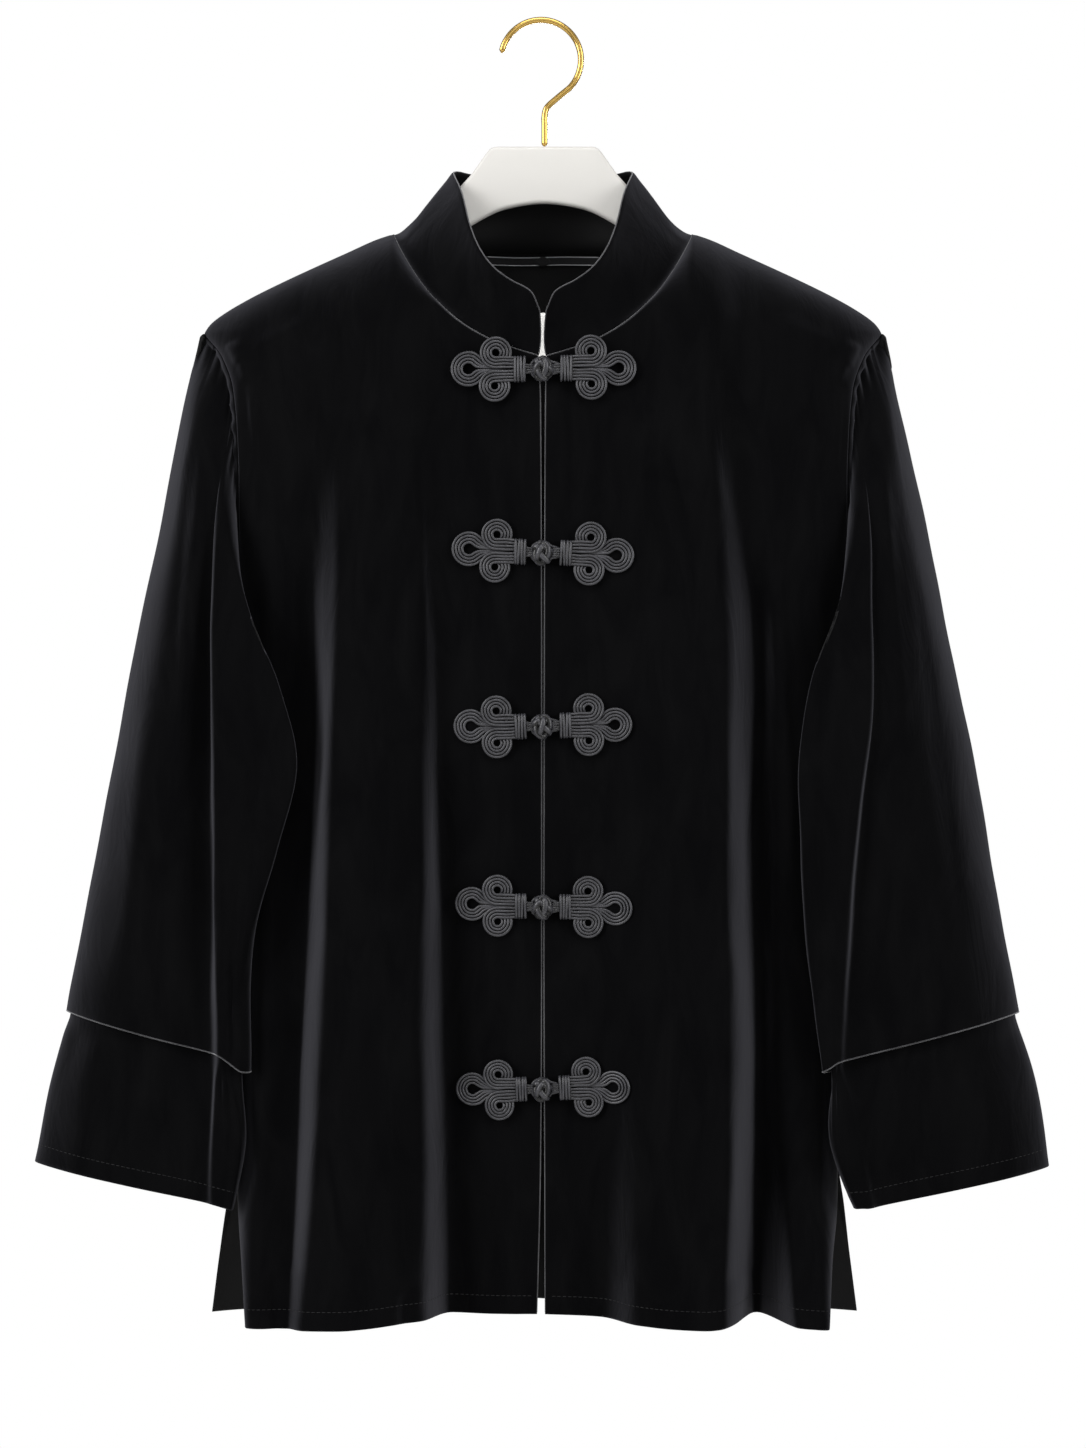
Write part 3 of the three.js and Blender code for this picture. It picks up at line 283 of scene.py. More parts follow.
def make_piece(name, parts, materials):
    """One object from parts. Each part is turned so that its faces point out."""
    points, corners, sizes, numbers, uvs = [], [], [], [], []
    offset = 0
    for part in parts:
        block_points = np.asarray(part["points"], float)
        flip = signed_volume(block_points, part["faces"]) < 0
        for block, number in zip(part["faces"], part["material"]):
            turned = block[:, ::-1] if flip else block
            corners.append((turned + offset).ravel())
            sizes.append(np.full(len(block), block.shape[1]))
            numbers.append(np.full(len(block), number))
        uvs.append(part["uv"])
        points.append(block_points)
        offset += len(block_points)
    points, corners = np.concatenate(points) * MM, np.concatenate(corners)
    sizes, numbers, uvs = np.concatenate(sizes), np.concatenate(numbers), np.concatenate(uvs)
    mesh = bpy.data.meshes.new(name)
    mesh.vertices.add(len(points))
    mesh.vertices.foreach_set("co", points.ravel().astype(np.float32))
    mesh.loops.add(len(corners))
    mesh.loops.foreach_set("vertex_index", corners.astype(np.int32))
    mesh.polygons.add(len(sizes))
    starts = np.concatenate([[0], np.cumsum(sizes)[:-1]])
    mesh.polygons.foreach_set("loop_start", starts.astype(np.int32))
    mesh.polygons.foreach_set("material_index", numbers.astype(np.int32))
    for material in materials:
        mesh.materials.append(material)
    mesh.update(calc_edges=True)
    layer = mesh.uv_layers.new(name="length")
    layer.data.foreach_set("uv", uvs[corners].ravel().astype(np.float32))
    mesh.shade_smooth()
    return put_in_scene(name, mesh)


def grid_faces(rows, columns, closed, offset=0):
    """Quads between neighbouring points of a grid, joined round where it is closed."""
    i, j = np.meshgrid(np.arange(rows - 1), np.arange(columns if closed else columns - 1),
                       indexing="ij")
    right = (j + 1) % columns
    a, b = i * columns + j, i * columns + right
    return np.stack([a, b, b + columns, a + columns], axis=-1).reshape(-1, 4) + offset


def strip_faces(first, second, closed):
    """Quads between two lines of point numbers."""
    if closed:
        first, second = np.append(first, first[0]), np.append(second, second[0])
    return np.stack([first[:-1], second[:-1], second[1:], first[1:]], axis=-1)


def shell(grid, normals, closed, half):
    """A cloth wall: the grid moved half its thickness out and in along its normals, closed at
    its rims. The inner face has the second material."""
    rows, columns = grid.shape[:2]
    side = rows * columns
    out, back = grid + normals * half[..., None], grid - normals * half[..., None]
    index = np.arange(side).reshape(rows, columns)
    rims = [strip_faces(index[0], index[0] + side, closed)[:, ::-1],
            strip_faces(index[-1], index[-1] + side, closed)]
    if not closed:
        rims += [strip_faces(index[:, 0], index[:, 0] + side, False),
                 strip_faces(index[:, -1], index[:, -1] + side, False)[:, ::-1]]
    outer = np.concatenate([grid_faces(rows, columns, closed)[:, ::-1], *rims])
    inner = grid_faces(rows, columns, closed, side)
    uv = np.stack([lengths(grid, 1), lengths(grid, 0)], axis=-1).reshape(-1, 2)
    return make_part(np.concatenate([out.reshape(-1, 3), back.reshape(-1, 3)]), [outer, inner],
                     np.concatenate([uv, uv]), [0, 1])


def rings_round(across, lift, count, flat=1.0):
    """Rings of points at distance 1, each from its first axis round by its second."""
    turn = circle(count)[:, None]
    return across[..., None, :] * np.cos(turn) + lift[..., None, :] * np.sin(turn) * flat


def tube(path, radius, sides=8, closed=False, up=(0, -1, 0), flat=1.0):
    """A cord along a path: at each point a ring square to the path, its second axis as near to
    up as it goes and flat times as long. Open ends are rounded off over one radius."""
    path = np.asarray(path, float)
    ahead = np.roll(path, -1, 0) - np.roll(path, 1, 0) if closed else np.gradient(path, axis=0)
    along = unit(ahead)
    across = unit(np.cross(along, np.broadcast_to(np.asarray(up, float), path.shape)))
    lift = np.cross(across, along)
    reach = np.broadcast_to(np.asarray(radius, float), len(path)).copy()
    run = lengths(path[:, None], 0)[:, 0]
    if not closed:
        gap = np.minimum(run, run[-1] - run) / reach.max()
        reach *= np.sqrt(np.clip(1 - (1 - np.clip(gap, 0.02, 1)) ** 2, 0, 1))
    ring = rings_round(across, lift, sides, flat) * reach[:, None, None]
    points = (path[:, None] + ring).reshape(-1, 3)
    index = np.arange(len(points)).reshape(len(path), sides)
    if closed:
        index = np.concatenate([index, index[:1]])
    a, b = index[:-1], index[1:]
    a_next, b_next = np.roll(a, -1, 1), np.roll(b, -1, 1)
    faces = [np.stack([a, a_next, b_next, b], axis=-1).reshape(-1, 4)]
    if not closed:
        faces += [index[:1, ::-1], index[-1:]]
    uv = np.stack([np.tile(np.arange(sides) / sides, len(path)), np.repeat(run, sides)], -1)
    return make_part(points, faces, uv)


def dashes(path, normals, pitch, length, radius, sides=5):
    """Stitches along a path: one short sunken cord every pitch, each four rings long."""
    run = lengths(path[:, None], 0)[:, 0]
    starts = np.arange(pitch / 2, run[-1] - length, pitch)
    at = starts[:, None] + np.array([0, 0.15, 0.85, 1]) * length
    grow = np.array([0.25, 1, 1, 0.25]) * radius
    place, lift = read_along(at, run, path), unit(read_along(at, run, normals))
    along = unit(place[:, -1:] - place[:, :1])
    across = unit(np.cross(np.broadcast_to(along, lift.shape), lift))
    points = place[:, :, None] + rings_round(across, lift, sides) * grow[:, None, None]
    index = np.arange(points[..., 0].size).reshape(points.shape[:3])
    a, b = index[:, :-1], index[:, 1:]
    quads = np.stack([a, np.roll(a, -1, 2), np.roll(b, -1, 2), b], -1).reshape(-1, 4)
    faces = [quads, index[:, 0, ::-1], index[:, -1]]
    return make_part(points.reshape(-1, 3), faces)


# ---- creases and thickness -------------------------------------------------------------------
# Small creases of each piece: from (x, z) to (x, z), width, height (a trough is negative).
CREASES = {
    "front_left": [
        [-88, -262, -80, -470, 5, 1.1], [-80, -520, -79, -828, 6, 1.3],
        [-127, -280, -140, -640, 6, 1.0], [-152, -330, -150, -560, 7, -1.6],
        [-66, -420, -64, -800, 9, -1.2], [-24, -300, -34, -520, 12, 0.8],
        [-36, -560, -30, -800, 11, 0.9], [-52, -262, -47, -322, 7, -0.7],
        [-100, -200, -92, -262, 9, 0.9], [-118, -196, -104, -250, 8, -0.9],
        [-172, -360, -178, -470, 7, 0.9], [-165, -500, -172, -640, 8, -0.8],
        [-160, -800, -158, -842, 6, 1.4], [-170, -806, -171, -842, 4, -1.2],
        [-78, -812, -74, -842, 5, 1.2], [-88, -816, -90, -842, 4, -1.1],
        [-120, -700, -126, -790, 9, 0.9], [-20, -800, -16, -842, 8, 0.6],
        [-188, -700, -182, -760, 5, 0.9], [-150, -196, -188, -214, 7, 1.0],
        [-196, -208, -188, -236, 4, 1.3], [-189, -232, -184, -290, 4, 1.6],
        [-184, -284, -183, -345, 5, 1.2], [-193, -226, -190, -330, 4, -1.6],
        [-206, -212, -199, -226, 2.5, 1.0], [-176, -250, -170, -330, 6, 0.7]],
    "front_right": [
        [97, -176, 112, -330, 6, 1.1], [113, -360, 118, -560, 6, 1.2],
        [119, -580, 121, -780, 7, 1.2], [137, -320, 137, -700, 6, -1.8],
        [153, -300, 156, -560, 4, 1.4], [24, -300, 42, -480, 12, 0.9],
        [44, -520, 36, -780, 12, 0.8], [70, -260, 62, -300, 7, 0.9],
        [66, -288, 96, -300, 5, 1.0], [72, -298, 98, -309, 5, -0.8],
        [88, -430, 92, -560, 9, -0.9], [170, -350, 168, -520, 7, 0.9],
        [121, -806, 119, -842, 6, 1.4], [133, -802, 134, -842, 4, -1.3],
        [92, -700, 96, -800, 10, 0.8], [176, -714, 172, -770, 5, 0.9],
        [60, -806, 58, -842, 8, 0.7], [150, -196, 188, -214, 7, 1.0],
        [197, -208, 189, -238, 4, 1.3], [190, -234, 186, -300, 4, 1.4],
        [194, -228, 191, -320, 4, -1.4], [206, -212, 199, -228, 2.5, 1.0],
        [176, -250, 168, -330, 6, 0.8], [114, -196, 104, -256, 8, -0.8]],
    "back": [
        [-112, -240, -106, -700, 10, 1.2], [-38, -330, -34, -800, 11, 1.1],
        [88, -300, 84, -820, 10, 1.3], [48, -260, 50, -420, 12, 0.8],
        [148, -320, 148, -600, 9, 1.0], [-150, -300, -146, -560, 9, -1.1],
        [-72, -420, -72, -812, 12, -1.1], [30, -500, 26, -820, 12, -0.9],
        [120, -560, 122, -830, 10, -1.1], [-168, -230, -120, -300, 12, 0.9],
        [172, -234, 128, -306, 12, 0.9], [-60, -190, -90, -250, 12, 0.7],
        [64, -188, 92, -246, 12, 0.7], [-186, -720, -178, -800, 7, 1.0],
        [184, -716, 176, -806, 7, 1.0], [-106, -806, -108, -846, 6, 1.2],
        [84, -800, 82, -846, 6, 1.2], [-40, -808, -36, -846, 7, 0.9],
        [150, -800, 152, -846, 6, 1.0], [-150, -806, -152, -846, 5, -1.0]],
}


def crease_height(grid, creases):
    """Sum of soft ridges and troughs: height times exp(-(distance to the line / width) squared),
    fading over the last fifth of each line."""
    x, z = grid[..., 0], grid[..., 2]
    total = np.zeros(x.shape)
    for x1, z1, x2, z2, width, height in creases:
        run = np.array([x2 - x1, z2 - z1], float)
        size = np.hypot(*run)
        along = ((x - x1) * run[0] + (z - z1) * run[1]) / size
        off = ((x - x1) * run[1] - (z - z1) * run[0]) / size
        beyond = np.maximum(np.maximum(-along, along - size), 0)
        fade = np.prod([ease(-0.05 * size, 0.2 * size, end) for end in (along, size - along)], 0)
        bend = 3 * np.sin(along / 37 + x1)      # no crease hangs dead straight
        total += height * np.exp(-((off + bend) / width) ** 2 - (beyond / width) ** 2) * fade
    return total


def undulation(grid, seed):
    """The slow waviness of hung cloth, as a few long waves that never line up."""
    x, y, z = (grid[..., k] for k in range(3))
    return (0.35 * np.sin(x / 11.3 + z / 61 + seed) + 0.3 * np.sin(x / 17.9 - z / 43 + 2 * seed)
            + 0.25 * np.sin(z / 23 + x / 31 + y / 9 + 3 * seed)
            + 0.12 * np.sin(z / 9.1 - x / 13 + 5 * seed))


# Half the thickness at distances from a seam, which is rounded off, and from a hem, where the
# cloth is folded up and stitched down.
SEAM_RIM = np.array([[0, 0.25], [0.35, 0.6], [1.0, 0.86], [2.6, 0.94], [6, CLOTH / 2]])
HEM_RIM = np.array([[0, 0.3], [0.4, 0.8], [1.2, 1.12], [6, 1.15], [10.5, 1.0], [12, 0.7],
                    [13.5, 0.86], [17, CLOTH / 2]])


def half_thickness(from_seam, from_hem=None):
    """Half the thickness of the cloth at distances from its seams and from its hem, if any."""
    half = np.interp(from_seam, *SEAM_RIM.T)
    return half if from_hem is None else np.minimum(half, np.interp(from_hem, *HEM_RIM.T))


def move_along(grid, normals, height, closed, outward):
    """The grid moved along its normals, with its new normals."""
    moved = grid + normals * height[..., None]
    return moved, grid_normals(moved, closed, outward)


# ---- body panels -----------------------------------------------------------------------------
FOLD_STEPS = 12      # columns from one fold to the next
TURN_STEPS = 24      # columns in the turn to the side edge
ARM_STEPS, SIDE_STEPS, SLIT_STEPS = 128, 84, 34
RIM_PLACES = [0.008, 0.025, 0.05]      # extra columns at a rim, where the cloth rounds off
CROWDING = {"front": 1.5, "back": 1.9}


def panel_places(name, with_rim):
    """Places of a panel's columns, from the centre out: a whole number is a fold, and the last
    one to the next is the turn to the side edge."""
    last = len(FOLDS[name]) - 1
    across = np.arange(last * FOLD_STEPS) / FOLD_STEPS
    turned = last + np.arange(TURN_STEPS + 1) / TURN_STEPS
    rim = np.array(RIM_PLACES) if with_rim else np.array([])
    return np.unique(np.concatenate([across, turned, rim, last + 1 - np.array(RIM_PLACES) / 2]))


def panel_lines(name, place):
    """Turn, fold, start, top height and top depth of each vertical line of a panel."""
    folds = FOLDS[name]
    last = len(folds) - 1
    neck = FRONT_NECK if name.startswith("front") else BACK_NECK
    turn = np.clip(place - last, 0, 1) * np.pi / 2
    fold = np.minimum(place, last)
    start = np.interp(fold, np.arange(last + 1), folds[:, 0])
    top_x = mix(start, TIP_X, np.sin(turn))
    on_neck = top_x <= NECK_X
    top_z = np.where(on_neck, smooth(neck[:, 0], neck[:, 1], top_x),
                     smooth(SHOULDER[:, 0], SHOULDER[:, 1], top_x))
    top_depth = np.where(on_neck, np.abs(smooth(neck[:, 0], neck[:, 2], top_x)), 0)
    return turn, fold, start, top_z, top_depth


def panel_points(name, place, z):
    """Points of a panel at places along its folds and heights z. x and depth are read from the
    fold table; under the neck or shoulder seam the panel rolls out to that depth on a quarter
    circle, and past the last fold it turns back to the side edge on a quarter of an ellipse."""
    folds = FOLDS[name]
    kind, which = name.split("_")
    armhole = FRONT_ARMHOLE if kind == "front" else BACK_ARMHOLE
    edge = np.array(armhole + SIDE_SEAM[which] + SLIT_EDGE[name], float)
    turn, fold, start, top_z, top_depth = panel_lines(name, place)
    at_levels = smooth(np.arange(len(folds)), folds[:, 1:], fold[:, None])
    knots = np.concatenate([top_z[None], np.broadcast_to(LEVELS[:, None], (5, len(place)))])
    fold_x = smooth(knots, np.concatenate([start[None], at_levels[:, 0::2].T]), z)
    deep = smooth(np.broadcast_to(LEVELS[:, None], (5, len(place))), at_levels[:, 1::2].T, z)
    roll = np.clip((top_z - z) / SHOULDER_ROLL, 0, 1)
    depth = mix(top_depth, deep, np.sqrt(roll * (2 - roll)))
    x = mix(fold_x, smooth(edge[:, 0], edge[:, 1], z), np.sin(turn))
    depth = mix(smooth(edge[:, 0], edge[:, 2], z), depth, np.cos(turn))
    side = -1 if which == "left" else 1
    facing = -1 if kind == "front" else 1
    return np.stack([side * x, facing * np.maximum(depth, SEAM_GAP / 2), z + 0 * x], axis=-1)


def panel_grid(name, with_rim):
    """Rows from the neck or shoulder seam to the underarm, to the slit and to the hem."""
    place = panel_places(name, with_rim)
    kind = name.split("_")[0]
    hem = HEM["back" if kind == "back" else name]
    _, _, _, top_z, _ = panel_lines(name, place)
    bottom = np.abs(panel_points(name, place, np.full((1, len(place)), LEVELS[-1]))[0, :, 0])
    hem_z = smooth(hem[:, 0], hem[:, 1], bottom)
    arm = (np.arange(ARM_STEPS) / ARM_STEPS) ** CROWDING[kind]
    side = np.arange(SIDE_STEPS) / SIDE_STEPS
    slit = np.concatenate([np.arange(SLIT_STEPS) / SLIT_STEPS, [0.985, 0.995, 1]])
    z = np.concatenate([
        mix(top_z, UNDERARM_Z, arm[:, None]),
        np.broadcast_to(mix(UNDERARM_Z, SLIT_Z, side)[:, None], (SIDE_STEPS, len(place))),
        mix(SLIT_Z, hem_z, slit[:, None])])
    return panel_points(name, place, z)


def finish_panel(grid, outward, creases, seed):
    """The panel's grid with its creases, its normals and its half thickness. Creases fade out
    towards the seams, so that the pieces still meet there."""
    normals = grid_normals(grid, False, outward)
    down = lengths(grid, 0)
    near = np.minimum(from_ends(lengths(grid, 1), 1), down)
    half = half_thickness(near, down[-1:] - down)
    height = (crease_height(grid, creases) + undulation(grid, seed)) * ease(0.5, 16, near)
    grid, normals = move_along(grid, normals, height, False, outward)
    on_seam = np.abs(grid[..., 1]) < SEAM_GAP
    normals[on_seam, 1] = 0
    return {"grid": grid, "normals": unit(normals), "half": half}


grids = {name: panel_grid(name, name.startswith("front")) for name in FOLDS}
grids["back"] = np.concatenate([grids["back_left"][:, ::-1], grids["back_right"][:, 1:]], axis=1)
panels = {name: finish_panel(grids[name], outward, CREASES[name], seed)
          for name, outward, seed in (("front_left", 1, 0.4), ("front_right", -1, 1.9),
                                      ("back", 1, 3.3))}


# ---- sleeves and cuffs -----------------------------------------------------------------------
SLEEVE_GAP = 0.45
SLEEVE_HEAD_OUT, SLEEVE_HEAD_UP = 4.0, 3.2
HEAD_SHARES = [0, 0.08, 0.2, 0.4, 0.65]     # rings from the seam to the sleeve head
TIP_FLAT = 0.15, 22  # share of the head's height left at the shoulder tip, and drop to its full
RING_STEPS = 16      # points from one corner of a section to the next
SLEEVE_STEPS, CUFF_STEPS = 20, 16      # rings from one section to the next
BACK_X = 214.0       # where the back of the tube stands furthest out


def leads(points, normals, closed, sign):
    """Directions that lead off a sewn edge, in the surface and square to the edge."""
    if closed:
        ahead, behind = np.roll(points, -1, 0), np.roll(points, 1, 0)
    else:
        ahead = np.concatenate([points[1:], 2 * points[-1:] - points[-2:-1]])
        behind = np.concatenate([2 * points[:1] - points[1:2], points[:-1]])
    along = unit(ahead - points) + unit(points - behind)
    return unit(np.cross(along, normals)) * sign


TIP_NORMAL = np.array([0.8, 0, 0.6])   # at the shoulder tip, out and up
TIP_TURN, TIP_REACH = 0.66, 9.0        # how fast the ring's normals turn away below the tip
TIP_SHARE = 0.75                       # of the panel's normal beside that turn


def turned(points, normals, facing, side):
    """Normals of half an armhole, which swing out to the shoulder tip at its upper end."""
    drop = points[:1, 2:] - points[:, 2:]
    lean = facing * TIP_TURN * ease(0, TIP_REACH, np.abs(points[:, 1:2] - points[:1, 1:2]))
    flat = unit(normals * [1, 0, 1] + [0, 0, 1e-6]) * TIP_SHARE
    below = np.where(drop > TIP_REACH, normals, unit(flat + lean * [0, 1, 0]))
    return unit(mix(TIP_NORMAL * [side, 1, 1], below, ease(0, TIP_REACH, drop)))


def armhole(side):
    """The armhole as a ring: shoulder tip, front edge, underarm, back edge."""
    front = panels["front_left" if side < 0 else "front_right"]
    back, column = panels["back"], (0 if side < 0 else -1)
    fp, fn = front["grid"][:ARM_STEPS + 1, -1], front["normals"][:ARM_STEPS + 1, -1]
    bp, bn = (back[key][:ARM_STEPS + 1:2, column] for key in ("grid", "normals"))
    fn, bn = turned(fp, fn, -1, side), turned(bp, bn, 1, side)
    ends_p = [(fp[k] + bp[k]) / 2 for k in (0, -1)]
    ends_n = [unit(fn[k] + bn[k]) for k in (0, -1)]
    return (np.concatenate([[ends_p[0]], fp[1:-1], [ends_p[1]], bp[1:-1][::-1]]),
            np.concatenate([[ends_n[0]], fn[1:-1], [ends_n[1]], bn[1:-1][::-1]]))


def sections(table, side):
    """Rings of a sleeve or cuff: each a closed curve through twelve corners, from the outer edge
    over the front to the crest of the long fold, on to the edge of the cloth that the fold
    throws forward, back under it, and round behind."""
    (outer_x, outer_z, crest_x, crest_z, crest_y, inner_x, inner_z, inner_y,
     layer_x, layer_y, pass_x, pass_y, valley, front, back) = table.T
    low = mix(crest_z, inner_z, 0.6)
    corners = [
        (outer_x, 0 * outer_x, outer_z),
        (mix(outer_x, crest_x, 0.22), front * 0.68, mix(outer_z, crest_z, 0.22)),
        (mix(outer_x, crest_x, 0.58), front, mix(outer_z, crest_z, 0.58)),
        (mix(outer_x, crest_x, 0.91), crest_y + valley, mix(outer_z, crest_z, 0.91)),
        (crest_x, crest_y, crest_z),
        (mix(crest_x, inner_x, 0.55), mix(crest_y, inner_y, 0.5) - 0.5,
         mix(crest_z, inner_z, 0.55)),
        (inner_x, inner_y, inner_z),
        (layer_x, layer_y, inner_z),
        (pass_x, pass_y, low),
        (pass_x + 7, 0 * pass_x + 3, low),
        (mix(outer_x, BACK_X, 0.66), back, mix(outer_z, crest_z, 0.66)),
        (mix(outer_x, BACK_X, 0.24), back * 0.72, mix(outer_z, crest_z, 0.24)),
    ]
    rings = np.stack([np.stack(corner, -1) for corner in corners]) * [side, 1, 1]
    return catmull(rings, RING_STEPS, closed=True).transpose(1, 0, 2)


# Creases of the sleeves: place round the ring in corners, share of the length from and to, width
# in mm, height, lean in corners over the length.
SLEEVE_CREASES = {
    "left": [
        [4.05, 0.06, 0.97, 3.0, 1.5, 0.0], [3.35, 0.12, 0.9, 5, -1.4, 0.1],
        [2.4, 0.2, 0.62, 8, 1.0, -0.5], [1.5, 0.1, 0.5, 8, -0.9, 0.5],
        [1.2, 0.5, 0.95, 9, 1.0, 0.4], [2.2, 0.6, 0.98, 7, -1.0, -0.4],
        [5.1, 0.3, 0.8, 6, -1.0, 0.2], [5.5, 0.55, 0.99, 5, 1.3, -0.6],
        [4.7, 0.78, 1.0, 4, 1.4, 0.5], [5.0, 0.82, 1.0, 3.5, -1.5, 0.6],
        [10.2, 0.1, 0.7, 10, 1.2, 0.3], [11.0, 0.3, 0.95, 9, -1.1, -0.5],
        [9.7, 0.5, 1.0, 8, 1.1, 0.4], [10.6, 0.62, 1.0, 9, 1.0, -0.3]],
    "right": [
        [3.95, 0.08, 0.95, 5.0, 1.4, 0.0], [3.1, 0.2, 0.85, 8, -1.0, 0.2],
        [2.0, 0.12, 0.6, 9, 1.0, 0.5], [1.3, 0.3, 0.9, 9, -0.9, -0.3],
        [2.6, 0.55, 0.98, 8, 1.0, 0.3], [5.2, 0.25, 0.75, 6, -1.0, -0.2],
        [5.6, 0.5, 0.98, 5, 1.2, -0.3], [4.7, 0.84, 1.0, 5, 1.1, 0.4],
        [10.4, 0.15, 0.75, 10, 1.2, -0.3], [11.1, 0.4, 1.0, 9, -1.0, 0.4],
        [9.8, 0.45, 0.95, 8, 1.1, 0.3]]}


def ring_creases(grid, creases):
    """As crease_height, on a sleeve: each crease runs down its length at a place round it."""
    corner = np.arange(grid.shape[1]) / RING_STEPS
    share = lengths(grid, 0)
    share = share / share[-1:]
    around = lengths(grid, 1)
    girth = around[:, -1:] * 1.02
    total = np.zeros(grid.shape[:2])
    for place, start, end, width, height, lean in creases:
        centre = place + lean * (share - start)
        at = np.stack([np.interp(centre[i, :1], corner, around[i]) for i in range(len(grid))])
        off = around - at
        off = np.minimum(np.abs(off), girth - np.abs(off)) + 1.2 * np.sin(share * 17 + place)
        fade = ease(start, mix(start, end, 0.25), share)
        fade *= 1 - ease(mix(start, end, 0.8), end + 0.03, share)
        total += height * np.exp(-(off / width) ** 2) * fade
    return total


def gathers(grid, depth, reach, count, seed):
    """Small puckers where cloth is eased into the first ring: waves round it that die away."""
    turn = circle(grid.shape[1])
    wave = np.sin(count * turn + seed) * (0.6 + 0.4 * np.sin(3 * turn + 2 * seed))
    down = lengths(grid, 0)
    return depth * wave * ease(0, 5, down) * np.exp(-(down / reach) ** 2)


def crowd_hem(rings, shares):
    """The last ring's place taken by rings at shares of the way to it."""
    return np.concatenate([rings[:-1], mix(rings[-2], rings[-1], np.reshape(shares, (-1, 1, 1)))])


def finish_tube(grid, height, side):
    """A sleeve or cuff with its creases, its normals and its half thickness."""
    down = lengths(grid, 0)
    grid, normals = move_along(grid, grid_normals(grid, True, side), height, True, side)
    return {"grid": grid, "normals": normals, "half": half_thickness(down, down[-1:] - down)}


def make_sleeve(side, table, creases, seed):
    edge, normal = armhole(side)
    lead = leads(edge, normal, True, -side)
    # The sleeve head stands up from the seam, but lies flat at the shoulder tip.
    full = ease(0, TIP_FLAT[1], TIP_Z - edge[:, 2:])
    swell = normal * SLEEVE_HEAD_UP * mix(TIP_FLAT[0], 1, full)
    share = np.array(HEAD_SHARES)[:, None, None]
    seam = (edge + lead * mix(SLEEVE_GAP, SLEEVE_HEAD_OUT, share)
            + swell * np.sin(share * np.pi / 2))
    head = edge + lead * SLEEVE_HEAD_OUT + swell
    rest = catmull(np.concatenate([head[None], sections(table, side)]), SLEEVE_STEPS,
                   centripetal=True)
    grid = np.concatenate([seam, crowd_hem(rest, [0.75, 0.94, 1])])
    down = lengths(grid, 0)
    height = (ring_creases(grid, creases) + undulation(grid, seed)) * ease(2, 22, down)
    height += gathers(grid, depth=0.9, reach=20, count=19, seed=seed)
    sleeve = finish_tube(grid, height * ease(-4, 14, down[-1:] - down), side)
    sleeve["normals"][0] = normal
    return sleeve


# How far in a cuff's section lies from the sleeve's under the sleeve hem, column by column. The
# thin end of the fold is drawn back more than the rest.
CUFF_INSET = np.array([-3, 0, 0, 0, 3.5, 6, 0, 3.2, 5.5, -0.6, 4.4, -0.8, 0, 3, -3])


def make_cuff(side, table, sleeve_table, seed):
    """The cuff starts inside the sleeve hem and comes out from under it, on smooth lines down
    to its own hem."""
    above, hem = sleeve_table[-2:]
    rise = abs(above[1] - hem[1])
    tucked = np.stack([mix(hem, above, lift / rise) + CUFF_INSET
                       for lift in (CUFF_TUCK, CUFF_TUCK - 0.6, CUFF_TUCK / 2, 0)])
    below = (mix(hem, above, -CUFF_TUCK / 2 / rise) + CUFF_INSET)[None]
    body = catmull(sections(np.concatenate([below, table]), side), CUFF_STEPS,
                   centripetal=True)
    rings = np.concatenate([sections(tucked, side), crowd_hem(body, [0.8, 0.95, 1])])
    down = lengths(rings, 0)
    height = gathers(rings, depth=0.8, reach=60, count=13, seed=seed) + undulation(rings, seed)
    height *= ease(12, 26, down) * ease(-6, 10, down[-1:] - down)
    return finish_tube(rings, height, side)


for (side, which), seed in zip(SIDES, (0.7, 2.3)):
    sleeve = make_sleeve(side, SLEEVE[which], SLEEVE_CREASES[which], seed)
    panels["sleeve_" + which] = sleeve
    panels["cuff_" + which] = make_cuff(side, CUFF[which], SLEEVE[which], seed)


# ---- stand collar ----------------------------------------------------------------------------
def neck_seam():
    """Points and normals of the neck seam, from the left front end round to the right."""
    def upper(panel):
        on_neck = np.abs(panel["grid"][0, :, 0]) <= NECK_X + 0.05
        return panel["grid"][0, on_neck], panel["normals"][0, on_neck]
    left, right, back = (upper(panels[name]) for name in ("front_left", "front_right", "back"))
    rings = []
    for a, b, c in zip(left, right, back):      # points, then normals
        joins = (a[-1] + c[0]) / 2, (b[-1] + c[-1]) / 2
        rings.append(np.concatenate([a[:-1], [joins[0]], c[1:-1], [joins[1]], b[-2::-1]]))
    points, normals = rings[0], unit(rings[1])
    shoulder = len(left[0]) - 1
    return points, normals, shoulder, shoulder + len(back[0]) - 1


BAND_UP, BAND_OUT = 9.0, 1.5   # the point that bends a line of the band, from the neck seam


